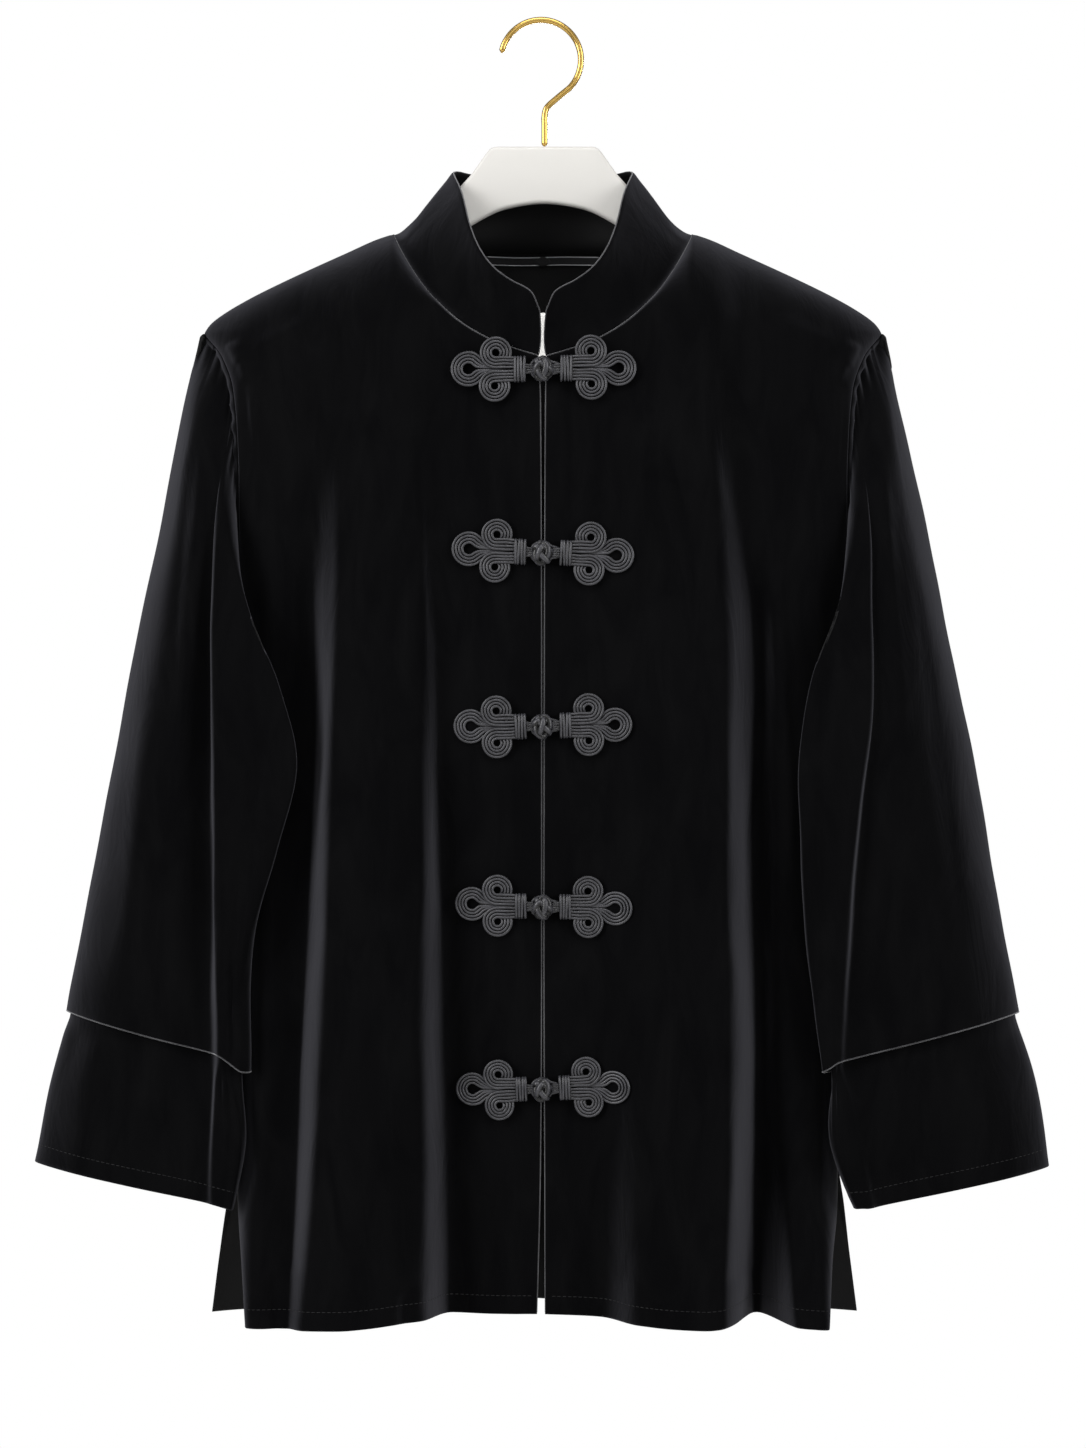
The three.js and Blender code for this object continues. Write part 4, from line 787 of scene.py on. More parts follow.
def make_collar():
    """Each line of the band is a quadratic curve from the neck seam, over its bending point, to
    the top edge."""
    edge, normal, left, right = neck_seam()
    lead = leads(edge, normal, False, 1)
    run = lengths(edge[:, None], 0)[:, 0]
    place = np.interp(run, [run[0], run[left], run[right], run[-1]], [0, 1, 3, 4])
    folded = np.minimum(place, 4 - place)
    top = smooth(COLLAR_TOP[:, 0], COLLAR_TOP[:, 1:], folded[:, None])
    top[:, 0] *= np.where(place <= 2, -1, 1)
    base = edge + lead * SEAM_GAP
    bend = base + lead * BAND_UP + normal * BAND_OUT
    t = np.unique(np.concatenate([[0, 0.01, 0.03, 0.97, 0.99], np.linspace(0, 1, 31)]))
    t = t[:, None, None]
    grid = base * (1 - t) ** 2 + bend * 2 * t * (1 - t) + top * t * t
    normals = grid_normals(grid, False, -1)
    down, across = lengths(grid, 0), lengths(grid, 1)
    near = np.minimum(from_ends(across, 1), from_ends(down, 0))
    wave = 0.5 * np.sin(across / 19 + 1.1) * np.sin(down / 17 + 0.4) + 0.3 * undulation(grid, 4.1)
    grid, normals = move_along(grid, normals, wave * ease(1, 14, near), False, -1)
    normals[0] = normal
    return {"grid": grid, "normals": normals, "half": half_thickness(near)}


panels["collar"] = make_collar()


# ---- places on the fronts --------------------------------------------------------------------
LATTICE_X = np.arange(0, 75, 1.0)
LATTICE_STEP = 2.0
LATTICE_Z = np.arange(-215, -730, -LATTICE_STEP)
LATTICE_BELOW = 2.5  # how far under the neck seam the front's depth is last read
LATTICE_FROM = 4     # and how near to the middle
COLLAR_LEAN = 0.13   # how far the collar front comes forward for each mm of its height


def depth_lattice(name):
    """Depth of a front on an even lattice of x and z, read from its own lines."""
    place = np.linspace(0, 3, 240)
    _, _, _, top_z, _ = panel_lines(name, place)
    z = np.minimum(LATTICE_Z[:, None], top_z - 0.1)
    points = panel_points(name, place, z)
    return np.stack([np.interp(LATTICE_X, np.abs(row[:, 0]), -row[:, 1]) for row in points])


LATTICES = {-1: depth_lattice("front_left"), 1: depth_lattice("front_right")}


def front_depth(side, x, z):
    """Depth of the front, or of the collar above it, at places (x, z), between lattice points."""
    seam = smooth(FRONT_NECK[:, 0], FRONT_NECK[:, 1], np.abs(x))
    low = np.minimum(z, seam - LATTICE_BELOW)
    u = np.clip(np.abs(x), LATTICE_FROM, LATTICE_X[-1] - 0.01)
    v = np.clip((LATTICE_Z[0] - low) / LATTICE_STEP, 0, len(LATTICE_Z) - 1.01)
    i, j = v.astype(int), u.astype(int)
    table, s, t = LATTICES[side], v - v.astype(int), u - u.astype(int)
    above = mix(table[i, j], table[i, j + 1], t)
    below = mix(table[i + 1, j], table[i + 1, j + 1], t)
    return mix(above, below, s) + np.maximum(z - low, 0) * COLLAR_LEAN


# ---- closures --------------------------------------------------------------------------------
CORD = 0.93          # radius of the cord
CORD_PITCH = 2.04    # from one cord to the next in a coil
COIL_CORDS = 4
BIG_LOOP = {"x": 47.0, "up": 0.7, "inner": 4.2, "open": 48}   # open: half angle of its mouth
SIDE_LOOPS = [{"x": 29.7, "up": 10.5, "inner": 3.1}, {"x": 30.0, "up": -10.3, "inner": 3.0}]
WRAP_X = [11.6, 13.55, 15.5, 17.45]
WRAP_HALF, WRAP_HEIGHT = 7.4, 3.6
# A cord's way to the big loop: out, share of its drawing back, half width, growth of that for
# each mm beside the first cord.
BIG_LEAD = np.array([[20, 0, 0.6, 0.18], [37, 1, 0.9, 0.3], [41.6, 1, 1.4, 0.51]])
BIG_BACK = 0.86      # an outer cord opens out nearer to the stem
# A cord's way to a side loop: out, share of its first height, off the cloth.
CURL_LEAD = np.array([[13.0, 0.93, 1.5], [18.0, 0.96, 2.0], [24.0, 1, 1.95]])
CURL_LIFT, CURL_DIVE = 1.1, 1.5
# The stem's cords: out, share of the height above the middle, off the cloth.
STEM = np.array([[20.0, 1, 1.2], [15, 1, 1.3], [11, 0.95, 1.9], [8, 0.8, 1.7], [5.2, 0.7, 1.3]])
STEM_UP = (-2.7, -1.0, 0.9, 2.6)
# The loop that holds the button, and where its two ends go under the wrap.
BUTTON_LOOP = {"x": -0.6, "long": 7.4, "wide": 6.6, "off": 1.25}
BUTTON_TAIL = [12.5, 2.4, 1.6]


def frog_to_cloth(index, side, local):
    """From (out from the middle, up, off the cloth) to a place on the front."""
    scale, tilt = FROG_SCALE[index], FROG_TILT[index] * side
    out, up = local[..., 0] * scale, local[..., 1] * scale
    x = side * (out * np.cos(tilt) - up * np.sin(tilt))
    z = FROG_Z[index] + out * np.sin(tilt) + up * np.cos(tilt)
    ground = front_depth(side, x, z) + CLOTH / 2 + SEAM_GAP + FROG_OFF[index]
    return np.stack([x, -(ground + local[..., 2]), z], axis=-1)


def drop_path(k, centre):
    """One cord of the big loop: out along the stem, round the end, and back beside itself."""
    beside = k * CORD_PITCH
    radius = BIG_LOOP["inner"] + beside
    angle = np.radians(np.linspace(BIG_LOOP["open"], 180, 14))
    out, share, width, growth = BIG_LEAD.T
    half = np.concatenate([
        np.stack([out - BIG_BACK * beside * share, width + growth * beside], -1),
        np.stack([centre[0] - radius * np.cos(angle), radius * np.sin(angle)], -1)])
    rise = centre[1] * ease(out[0], centre[0], half[:, 0])
    upper, lower = half[:, 1] + rise, rise - half[:, 1]
    path = np.concatenate([np.stack([half[:, 0], upper], -1),
                           np.stack([half[:, 0], lower], -1)[-2::-1]])
    return catmull(np.concatenate([path, np.full((len(path), 1), CORD)], -1), 2)


def curl_path(radius, loop, wobble):
    """A cord that comes out of the wrap, runs straight to its coil and goes nearly round it,
    and dives under the cords beside it."""
    sign = np.sign(loop["up"])
    angle = np.radians(np.linspace(-90, 232, 27))
    x = loop["x"] + radius * np.cos(angle)
    up = loop["up"] + sign * radius * np.sin(angle)
    dive = CURL_DIVE * ease(165, 225, np.degrees(angle))
    height = CORD + CURL_LIFT - dive + 0.12 * np.sin(angle * 2)
    lead = CURL_LEAD * [1, loop["up"] - sign * radius, 1]
    lead[-1, 1] += wobble
    return catmull(np.concatenate([lead, np.stack([x, up, height], -1)]), 2)


def wrap_path(x, lean):
    """One turn of cord round the bundle: half an ellipse over it and a flat run under it."""
    angle = circle(28)
    up = WRAP_HALF * np.sign(np.cos(angle)) * np.abs(np.cos(angle)) ** 0.8
    height = np.where(np.sin(angle) > 0, 0.5 + WRAP_HEIGHT * np.abs(np.sin(angle)) ** 0.5, 0.5)
    return np.stack([x + lean * up / WRAP_HALF, up, height], axis=-1)


def make_frog(index, side, which):
    """Half a closure as one piece: three coils, the wrap and the cords of the stem."""
    parts = []
    vary = np.sin(index * 2.1 + side)
    for k in range(COIL_CORDS):
        centre = (BIG_LOOP["x"] + 0.4 * vary, BIG_LOOP["up"] * (0.4 - side))
        path = frog_to_cloth(index, side, drop_path(k, centre))
        parts.append(tube(path, CORD * (1 + 0.03 * np.sin(3 * k + index))))
        for n, loop in enumerate(SIDE_LOOPS):
            placed = {"x": loop["x"] + 0.5 * np.sin(index + 2 * n + side), "up": loop["up"]}
            curl = curl_path(loop["inner"] + k * CORD_PITCH, placed, 0.3 * np.sin(k + n + index))
            parts.append(tube(frog_to_cloth(index, side, curl), CORD))
    for n, x in enumerate(WRAP_X):
        lean = 0.25 * np.sin(2.3 * n + index + side)
        ring = frog_to_cloth(index, side, wrap_path(x, lean))
        heart = frog_to_cloth(index, side, np.array([[x, 0, 1.2]]))
        parts.append(tube(ring, CORD * 1.05, closed=True, up=ring - heart))
    for up in STEM_UP:
        path = catmull(STEM * [1, up, 1], 4)
        parts.append(tube(frog_to_cloth(index, side, path), CORD))
    if side > 0:
        angle = np.radians(np.linspace(-150, 150, 36))
        loop = np.stack([BUTTON_LOOP["x"] - BUTTON_LOOP["long"] * np.cos(angle),
                         BUTTON_LOOP["wide"] * np.sin(angle),
                         BUTTON_LOOP["off"] + 0 * angle], -1)
        tails = np.array([BUTTON_TAIL]) * [1, -1, 1], [BUTTON_TAIL]
        path = catmull(np.concatenate([tails[0], loop[::2], tails[1]]), 2)
        parts.append(tube(frog_to_cloth(index, side, path), CORD * 1.1))
    return make_piece(f"closure_{which}_{index + 1}", parts, [satin_cord])


KNOT_CORD = 2.1      # the button is tied from a thicker, filled cord
KNOT_CENTRE = 4.6
KNOT_SIZE = np.array([4.5, 3.3, 5.6])      # reach of the cord's middle in x, y and z
KNOT_SWING = np.radians(64)                # how near to a pole the cord comes
KNOT_WEAVE = 0.16    # how far it rises over and dips under, as a share of the size
KNOT_OFF = -0.4      # aside and down from the closure's middle
KNOT_CORE = 0.85     # size of the filled middle, as a share of that
CORE_RINGS, CORE_SIDES = 12, 16
# The knot's poles lie up and to the side, so that its lobes cross over the front.
KNOT_TURN = np.array(Matrix.Rotation(1.05, 3, "X") @ Matrix.Rotation(0.5, 3, "Z"))


def make_ball(centre, size):
    """A closed ball of rings between two poles."""
    down = np.linspace(0, np.pi, CORE_RINGS + 1)[:, None]
    turn = circle(CORE_SIDES)
    ball = np.stack([np.sin(down) * np.cos(turn), np.cos(down) + 0 * turn,
                     np.sin(down) * np.sin(turn)], -1) * size
    ball = centre + np.where(np.abs(ball) < 1e-9, 0, ball)
    points = np.concatenate([ball[:1, 0], ball[1:-1].reshape(-1, 3), ball[-1:, 0]])
    ring = np.arange(CORE_SIDES)
    after, last = (ring + 1) % CORE_SIDES, len(points) - 1
    lowest = last - CORE_SIDES
    fans = [np.stack([0 * ring, 1 + ring, 1 + after], -1),
            np.stack([0 * ring + last, lowest + after, lowest + ring], -1)]
    body = grid_faces(CORE_RINGS - 1, CORE_SIDES, True, 1)[:, ::-1]
    return make_part(points, [body, *fans])


def make_knot(index):
    """A three-strand button knot: the cord goes round the ball three times while it swings four
    times from pole to pole, and it passes over and under itself at each crossing."""
    t = circle(230)
    turn, swing = 3 * t + 0.5 * index, 4 * t
    tilt = KNOT_SWING * np.sin(swing)
    weave = 1 + KNOT_WEAVE * np.sin(2 * swing)
    ball = np.stack([np.cos(tilt) * np.cos(turn), np.sin(tilt), np.cos(tilt) * np.sin(turn)], -1)
    ball = ball @ KNOT_TURN
    size = KNOT_SIZE * FROG_SCALE[index]
    depth = front_depth(-1, np.array([3.0]), np.array([FROG_Z[index]]))[0] + CLOTH / 2
    centre = np.array([KNOT_OFF, -(depth + KNOT_CENTRE), FROG_Z[index] + KNOT_OFF])
    path = centre + ball * size * weave[:, None]
    cord = tube(path, KNOT_CORD, sides=12, closed=True, up=ball)
    return make_piece(f"button_{index + 1}", [cord, make_ball(centre, size * KNOT_CORE)],
                      [satin_cord])


# ---- materials -------------------------------------------------------------------------------
def colour(text):
    """An sRGB hex colour as linear red, green, blue and alpha."""
    value = np.array([int(text[k:k + 2], 16) for k in (1, 3, 5)]) / 255
    linear = np.where(value <= 0.04045, value / 12.92, ((value + 0.055) / 1.055) ** 2.4)
    return (*linear.tolist(), 1.0)


def put(tree, node, inputs):
    """Gives each input of a node its value, or links it to the output that feeds it."""
    for key, value in inputs.items():
        if isinstance(value, bpy.types.NodeSocket):
            tree.links.new(value, node.inputs[key])
        else:
            node.inputs[key].default_value = value


def add(tree, kind, output, inputs, **settings):
    """A new node with its properties and inputs. Returns its named output."""
    node = tree.nodes.new(kind)
    for key, value in settings.items():
        setattr(node, key, value)
    put(tree, node, inputs)
    return node.outputs[output]


def object_place(tree):
    return add(tree, "ShaderNodeTexCoord", "Object", {})


def mapping(tree, place, change):
    return add(tree, "ShaderNodeMapping", "Vector", {"Vector": place, **change})


def noise(tree, place, scale, shape):
    return add(tree, "ShaderNodeTexNoise", "Fac", {"Vector": place, "Scale": scale, **shape})


def wave(tree, place, scale, axis, shape):
    return add(tree, "ShaderNodeTexWave", "Fac", {"Vector": place, "Scale": scale, **shape},
               bands_direction=axis)


def spread(tree, value, low, high, way="LINEAR"):
    """A value stretched so that low gives 0 and high gives 1."""
    return add(tree, "ShaderNodeMapRange", "Result",
               {"Value": value, "From Min": low, "From Max": high}, interpolation_type=way)


def blend(tree, factor, first, second):
    """Two colours, each hex text or an output, mixed by a factor."""
    first, second = (colour(end) if isinstance(end, str) else end for end in (first, second))
    return add(tree, "ShaderNodeMix", "Result", {"Factor": factor, "A": first, "B": second},
               data_type="RGBA")


def bump(tree, height, strength, depth, under=None):
    """Normals bent by a height that is depth mm deep, on top of the normals under it."""
    return add(tree, "ShaderNodeBump", "Normal", {
        "Height": height, "Strength": strength, "Distance": depth * MM,
        **({"Normal": under} if under else {})})


def new_material(name):
    made = bpy.data.materials.new(name)
    made.use_nodes = True
    return made, made.node_tree


def surface(made, inputs):
    """Gives a material's Principled shader its inputs. Returns the material."""
    put(made.node_tree, made.node_tree.nodes["Principled BSDF"], inputs)
    return made


def per_mm(size):
    """Scale of a texture on object coordinates, in metres, whose grain is size mm."""
    return 1 / (size * MM)


def make_velvet(name, dark, light, painted_sheen_colour, tint, sheen_roughness):
    """Cotton pile velvet, piece-dyed: near black head on, with a painted sheen that lightens the
    base colour where the pile is seen from its side, and mottled where handling has crushed the
    pile."""
    made, tree = new_material(name)
    place = object_place(tree)
    # The pile lies in streaks down the cloth, so the crush pattern is drawn out along Z.
    crush = noise(tree, mapping(tree, place, {"Scale": (1, 1, 0.3)}), per_mm(22),
                  {"Detail": 4.0, "Roughness": 0.6, "Distortion": 0.8})
    # Tufts of pile stand 0.3 mm apart; drawn at 0.9 mm, the finest that shows.
    tufts = noise(tree, place, per_mm(0.9), {"Detail": 2.0})
    base = blend(tree, spread(tree, crush, 0.35, 0.7), dark, light)
    soft = bump(tree, crush, 0.45, 1.4)
    # Painted sheen: the base colour is lightened where the surface is seen from its side, a sheen
    # which a plain sheen lobe leaves too faint on a fold's flank.
    slant = add(tree, "ShaderNodeLayerWeight", "Facing", {"Blend": 0.5, "Normal": soft})
    painted_sheen_mask = spread(tree, slant, 0.1, 0.75, "SMOOTHSTEP")
    return surface(made, {
        "Roughness": 0.95, "Specular IOR Level": 0.05, "Sheen Weight": 0.13,
        "Sheen Roughness": sheen_roughness, "Sheen Tint": colour(tint), "IOR": 1.5,
        "Base Color": blend(tree, painted_sheen_mask, base, painted_sheen_colour),
        "Normal": bump(tree, tufts, 0.35, 0.15, soft)})


def make_lining():
    """Acetate satin lining, black: darker and smoother than the velvet, with a fine twill."""
    made, tree = new_material("black_satin_lining")
    slanted = mapping(tree, object_place(tree), {"Rotation": (0, 0.6, 0)})
    twill = wave(tree, slanted, per_mm(5.0), "X", {"Distortion": 0.4})
    return surface(made, {
        "Base Color": colour("#040405"), "Roughness": 0.6, "Specular IOR Level": 0.15,
        "Sheen Weight": 0.03, "Sheen Roughness": 0.4, "Normal": bump(tree, twill, 0.15, 0.1)})


def make_cord_material():
    """Rayon satin rouleau: charcoal, with a painted highlight along the top of each cord and
    painted shade down its sides, into the grooves between cords, with the fine crosswise ribs of
    its braid."""
    made, tree = new_material("charcoal_satin_cord")
    uv = add(tree, "ShaderNodeUVMap", "UV", {}, uv_map="length")
    # The map's second coordinate is length in mm, its first is one turn round the cord, a
    # quarter of which is the side away from the cloth.
    turn = add(tree, "ShaderNodeSeparateXYZ", "X", {"Vector": uv})
    angle = add(tree, "ShaderNodeMath", "Value", {0: turn, 1: 2 * np.pi}, operation="MULTIPLY")
    height = add(tree, "ShaderNodeMath", "Value", {0: angle}, operation="SINE")
    painted_top_highlight = spread(tree, height, 0.5, 1.0, "SMOOTHSTEP")
    spun = mapping(tree, uv, {"Rotation": (0, 0, 0.9), "Scale": (2.0, 1.1, 1)})
    ribs = wave(tree, spun, 0.35, "Y", {"Distortion": 1.2, "Detail": 2.0, "Detail Scale": 2.0})
    dust = noise(tree, object_place(tree), per_mm(7), {"Detail": 3.0})
    # Lit tone of the cord's top, a painted highlight, varied at random by the dust noise.
    top = blend(tree, dust, "#1F1F22", "#444449")
    return surface(made, {
        "Roughness": 0.38, "Specular IOR Level": 0.45, "Sheen Weight": 0.06,
        "Sheen Roughness": 0.35, "Sheen Tint": colour("#C8C8CC"),
        # 050506 is painted shade on the cord's sides and in the grooves between cords.
        "Base Color": blend(tree, painted_top_highlight, "#050506", top),
        "Normal": bump(tree, ribs, 0.25, 0.12)})


def make_weave(name, warp, weft, thread, roughness, painted_glow=0.0):
    """Plain woven tape: warp and weft threads of the given spacing, each a slightly different
    tone, raised where it passes over the other. The painted glow makes the cloth give out light of
    its own, though it is no lamp."""
    made, tree = new_material(name)
    place = object_place(tree)
    waves = [wave(tree, place, per_mm(thread * 6.28), axis, {"Distortion": 0.3})
             for axis in ("X", "Z")]
    over = add(tree, "ShaderNodeMath", "Value", dict(enumerate(waves)), operation="MULTIPLY")
    return surface(made, {
        "Roughness": roughness, "Specular IOR Level": 0.25, "Sheen Weight": 0.2,
        "Sheen Roughness": 0.5, "Emission Color": colour("#F4F3F0"), "Emission Strength": painted_glow,
        "Base Color": blend(tree, over, warp, weft), "Normal": bump(tree, over, 0.4, 0.15)})


def make_hanger_material():
    """Injection-moulded plastic with a satin, warm-white finish: almost even in tone, with the
    faint flow and fine texture of its mould."""
    made, tree = new_material("satin_white_moulded_plastic")
    place = object_place(tree)
    flow, grain = (noise(tree, place, per_mm(size), {"Detail": 2.0}) for size in (60, 1.1))
    return surface(made, {
        "Roughness": 0.42, "Specular IOR Level": 0.4, "Coat Weight": 0.1, "Coat Roughness": 0.25,
        "Base Color": blend(tree, flow, "#C2C0BC", "#C9C7C3"),
        "Normal": bump(tree, grain, 0.08, 0.1)})


def make_gold_wire():
    """Brass-plated steel wire, drawn and polished: warm, glossy, with faint marks along it."""
    made, tree = new_material("brass_plated_wire")
    uv = add(tree, "ShaderNodeUVMap", "UV", {}, uv_map="length")
    lines = noise(tree, mapping(tree, uv, {"Scale": (40, 0.05, 1)}), 1.0, {"Detail": 2.0})
    return surface(made, {
        "Metallic": 1.0, "Roughness": 0.22, "Base Color": blend(tree, lines, "#C99F4C", "#DDBB70"),
        "Normal": bump(tree, lines, 0.06, 0.05)})


def make_thread():
    """Polyester sewing thread, black, with a slight gloss; its ply shows as tone alone."""
    made, tree = new_material("black_sewing_thread")
    ply = noise(tree, object_place(tree), per_mm(0.8), {})
    return surface(made, {"Roughness": 0.6, "Specular IOR Level": 0.3,
                          "Base Color": blend(tree, ply, "#0B0B0C", "#19191B")})


# The third colour is a painted sheen, laid into the base colour where the pile is seen from its
# side.
velvet = make_velvet("black_cotton_velvet", "#030304", "#070708", "#333337", "#B8B8BC", 0.22)
# Painted highlight: a lighter velvet for the thin lines along the turned edges, standing in for
# the rim of light that the velvet catches there.
velvet_edge_highlight = make_velvet("velvet_edge_painted_highlight", "#2C2C2E", "#4C4C4E", "#7A7A7C", "#D0D0D4", 0.5)
lining = make_lining()
black_thread = make_thread()
satin_cord = make_cord_material()
dark_tape = make_weave("dark_woven_tape", "#121213", "#2A2A2C", 0.45, 0.8)
# Painted highlight: light lines along the tape's edges, where the tape lies in shade inside the
# back.
tape_edge_highlight = make_weave("tape_edge_painted_highlight", "#9A9A9E", "#C8C8CC", 0.45, 0.7)
# The label is given a painted glow, so that it shows white though it lies in shade inside the
# back.
white_label = make_weave("white_woven_label", "#F1EFEB", "#FBFAF7", 0.5, 0.75, 0.6)
white_plastic = make_hanger_material()
gold_wire = make_gold_wire()


# ---- hanger ----------------------------------------------------------------------------------
HANGER_CENTRE_X, HANGER_DEPTH, HANGER_ROUND = 0.8, 8.0, 2.6
ARM_CLEARANCE = 3.1  # arm top below the middle of the shoulder wall
HANGER_TOP_Z = -80.6
OUTLINE_POINTS = 480
HOOK_WIRE = 4.0
HOOK_RADIUS, HOOK_X = 26.0, -1.3     # of the wire's middle, and how far the arc is off centre


def hanger_outline():
    """Half outline, outwards along the top and back along the underside, mirrored and made even
    by arc length."""
    top = [[0, HANGER_TOP_Z], [20, HANGER_TOP_Z], [34, HANGER_TOP_Z], [36.5, -83], [47.5, -98.8],
           [56, -108], [72, -127], [84, -140.5], [97, -147.6], [110, -150]]
    arm_x = np.array([125, 150, 175, 199.0])
    arm = np.stack([arm_x, smooth(SHOULDER[:, 0], SHOULDER[:, 1], arm_x) - ARM_CLEARANCE], -1)
    end = [[205, -198], [206, -204], [200, -208]]
    arch = np.array([[-24, -120.8], [0, -117.5], [24, -120.8], [46.8, -131.5], [74, -151],
                     [105, -167], [140, -181.5], [175, -197]])
    under_x = np.linspace(arch[-1, 0], 0, 50)
    under = np.stack([under_x, smooth(arch[:, 0], arch[:, 1], under_x)], -1)
    half = np.concatenate([top, arm, end, under])
    ring = np.concatenate([half, (half * [-1, 1])[::-1][1:-1]])
    closed = np.concatenate([ring, ring[:1]])
    run = lengths(closed[:, None], 0)[:, 0]
    even = read_along(np.linspace(0, run[-1], OUTLINE_POINTS + 1)[:-1], run, closed)
    for _ in range(2):      # eases the corners by a fraction of a millimetre
        even = (np.roll(even, 1, 0) + 2 * even + np.roll(even, -1, 0)) / 4
    return even


def make_hanger():
    """The outline repeated through the depth, drawn in by (1 - cos) of the turn at each level, so
    that its edges are round, and closed with strips from the top to the underside."""
    ring = hanger_outline()
    ahead = unit(np.roll(ring, -1, 0) - np.roll(ring, 1, 0))
    outward = np.stack([-ahead[:, 1], ahead[:, 0]], -1)
    turn = np.radians(np.linspace(-90, 90, 9))
    inset = HANGER_ROUND * (1 - np.cos(turn))
    middle = HANGER_DEPTH / 2 - HANGER_ROUND
    depth = HANGER_ROUND * np.sin(turn) + np.where(turn < 0, -middle, middle)
    depth[4] = 0
    rows = np.stack([np.concatenate([ring - outward * i, np.full((len(ring), 1), d)], 1)
                     for i, d in zip(inset, depth)])
    points = np.stack([rows[..., 0] + HANGER_CENTRE_X, rows[..., 2], rows[..., 1]], -1)
    count = len(ring)
    half, end = count // 2, count // 4
    k = np.arange(end - 1)
    right = np.stack([k, k + 1, half - k - 1, half - k], -1)
    left = np.stack([half + k, half + k + 1, count - k - 1, (count - k) % count], -1)
    strips = np.concatenate([right, left])
    tips = np.array([[end - 1, end, end + 1], [count - end - 1, count - end, count - end + 1]])
    last = (len(turn) - 1) * count
    faces = [grid_faces(len(turn), count, True), strips[:, ::-1], strips + last,
             tips[:, ::-1], tips + last]
    return make_piece("hanger_board", [make_part(points.reshape(-1, 3), faces)], [white_plastic])


def make_hook():
    """Wire along an arc from its tip over the top, then a bend and a straight stem."""
    angle = np.radians(np.linspace(170, -45, 60))
    arc = np.stack([HOOK_X + HOOK_RADIUS * np.cos(angle), 0 * angle,
                    HOOK_WIRE / 2 + HOOK_RADIUS * (np.sin(angle) - 1)], -1)
    stem = np.array([[9, 0, -49], [2.6, 0, -55], [1, 0, -61], [1, 0, -66], [1, 0, -71],
                     [1, 0, HANGER_TOP_Z + SEAM_GAP]])
    path = np.concatenate([arc, catmull(np.concatenate([arc[-1:], stem]), 8)[1:]])
    return make_piece("hook_wire", [tube(path, HOOK_WIRE / 2, sides=24, up=(0, 1, 0))],
                      [gold_wire])


# ---- edges, stitches, tape and label ----------------------------------------------------------
EDGE_CORD = 0.42     # radius of the painted-highlight line along a turned edge
SLEEVE_EDGE_CORD = 0.5
# How far each line stands off the middle of the cloth.
FRONT_EDGE_OUT, NECK_LINE_OUT, COLLAR_EDGE_OUT, SLEEVE_EDGE_OUT = 0.35, 0.75, 0.3, 0.5


def along_edge(points, normals, out, radius=EDGE_CORD, closed=False):
    return [tube(points + normals * out, radius, sides=6, closed=closed, up=normals)]


def make_edges():
    """Lines of painted highlight along the turned edges: front edges, neck seam, collar and sleeve
    hems.
    """
    made = {}
    for _, which in SIDES:
        front, sleeve = panels["front_" + which], panels["sleeve_" + which]
        made[f"front_{which}_edge"] = along_edge(front["grid"][2:-1, 1],
                                                 front["normals"][2:-1, 1], FRONT_EDGE_OUT)
        made[f"sleeve_{which}_edge"] = along_edge(sleeve["grid"][-2], sleeve["normals"][-2],
                                                  SLEEVE_EDGE_OUT, SLEEVE_EDGE_CORD, True)
    points, normals, _, _ = neck_seam()
    made["neck_seam_line"] = along_edge(points[2:-2], normals[2:-2], NECK_LINE_OUT)
    rim, out = (np.concatenate([table[3:-1, 1], table[-1, 1:-1], table[3:-1, -2][::-1]])
                for table in (panels["collar"]["grid"], panels["collar"]["normals"]))
    made["collar_edge"] = along_edge(rim, out, COLLAR_EDGE_OUT)
    return {name: make_piece(name, parts, [velvet_edge_highlight]) for name, parts in made.items()}


STITCH_UP, STITCH_OUT = 12.0, 0.72     # hem stitching above the edge and off the middle
STITCH_PITCH, STITCH_LENGTH, STITCH_THREAD = 3.4, 2.4, 0.2


def row_at(panel, distance):
    """Points and normals of a panel at a distance above its hem."""
    grid, normals = panel["grid"], panel["normals"]
    up = lengths(grid, 0)[-1:] - lengths(grid, 0)
    columns = range(grid.shape[1])
    place = np.array([np.interp(-distance, -up[:, j], np.arange(len(grid))) for j in columns])
    i, j, s = place.astype(int), np.arange(grid.shape[1]), (place % 1)[:, None]
    return mix(grid[i, j], grid[i + 1, j], s), unit(mix(normals[i, j], normals[i + 1, j], s))


def make_stitches():
    """The hem stitching of the body and the cuffs."""
    made = {}
    for name in ("front_left", "front_right", "back", "cuff_left", "cuff_right"):
        points, normals = row_at(panels[name], STITCH_UP)
        trim = slice(None) if name.startswith("cuff") else slice(4, -4)
        line = dashes((points + normals * STITCH_OUT)[trim], normals[trim], STITCH_PITCH,
                      STITCH_LENGTH, STITCH_THREAD)
        made[name] = make_piece(name + "_stitches", [line], [black_thread])
    return made


TAPE = {"half": 37, "top": -149, "bottom": -154, "wall": 1.0, "sag": 0.25, "grid": (7, 75)}
LABEL = {"half": 12, "top": -185, "bottom": -222, "wall": 1.0, "sag": 0.0, "grid": (20, 13)}
INNER_GAP = 0.5
STRIP_RIM = [0, 0.4, 1], [0.2, 0.42]   # distances from a strip's rim, and half its wall there
STRIP_WAVE = 9       # of the strip's sag
TAPE_EDGE = 0.36     # radius of the painted-highlight lines along the tape's edges
KEEPER = {"half": 5.5, "flat": 0.1, "off": 1.4}


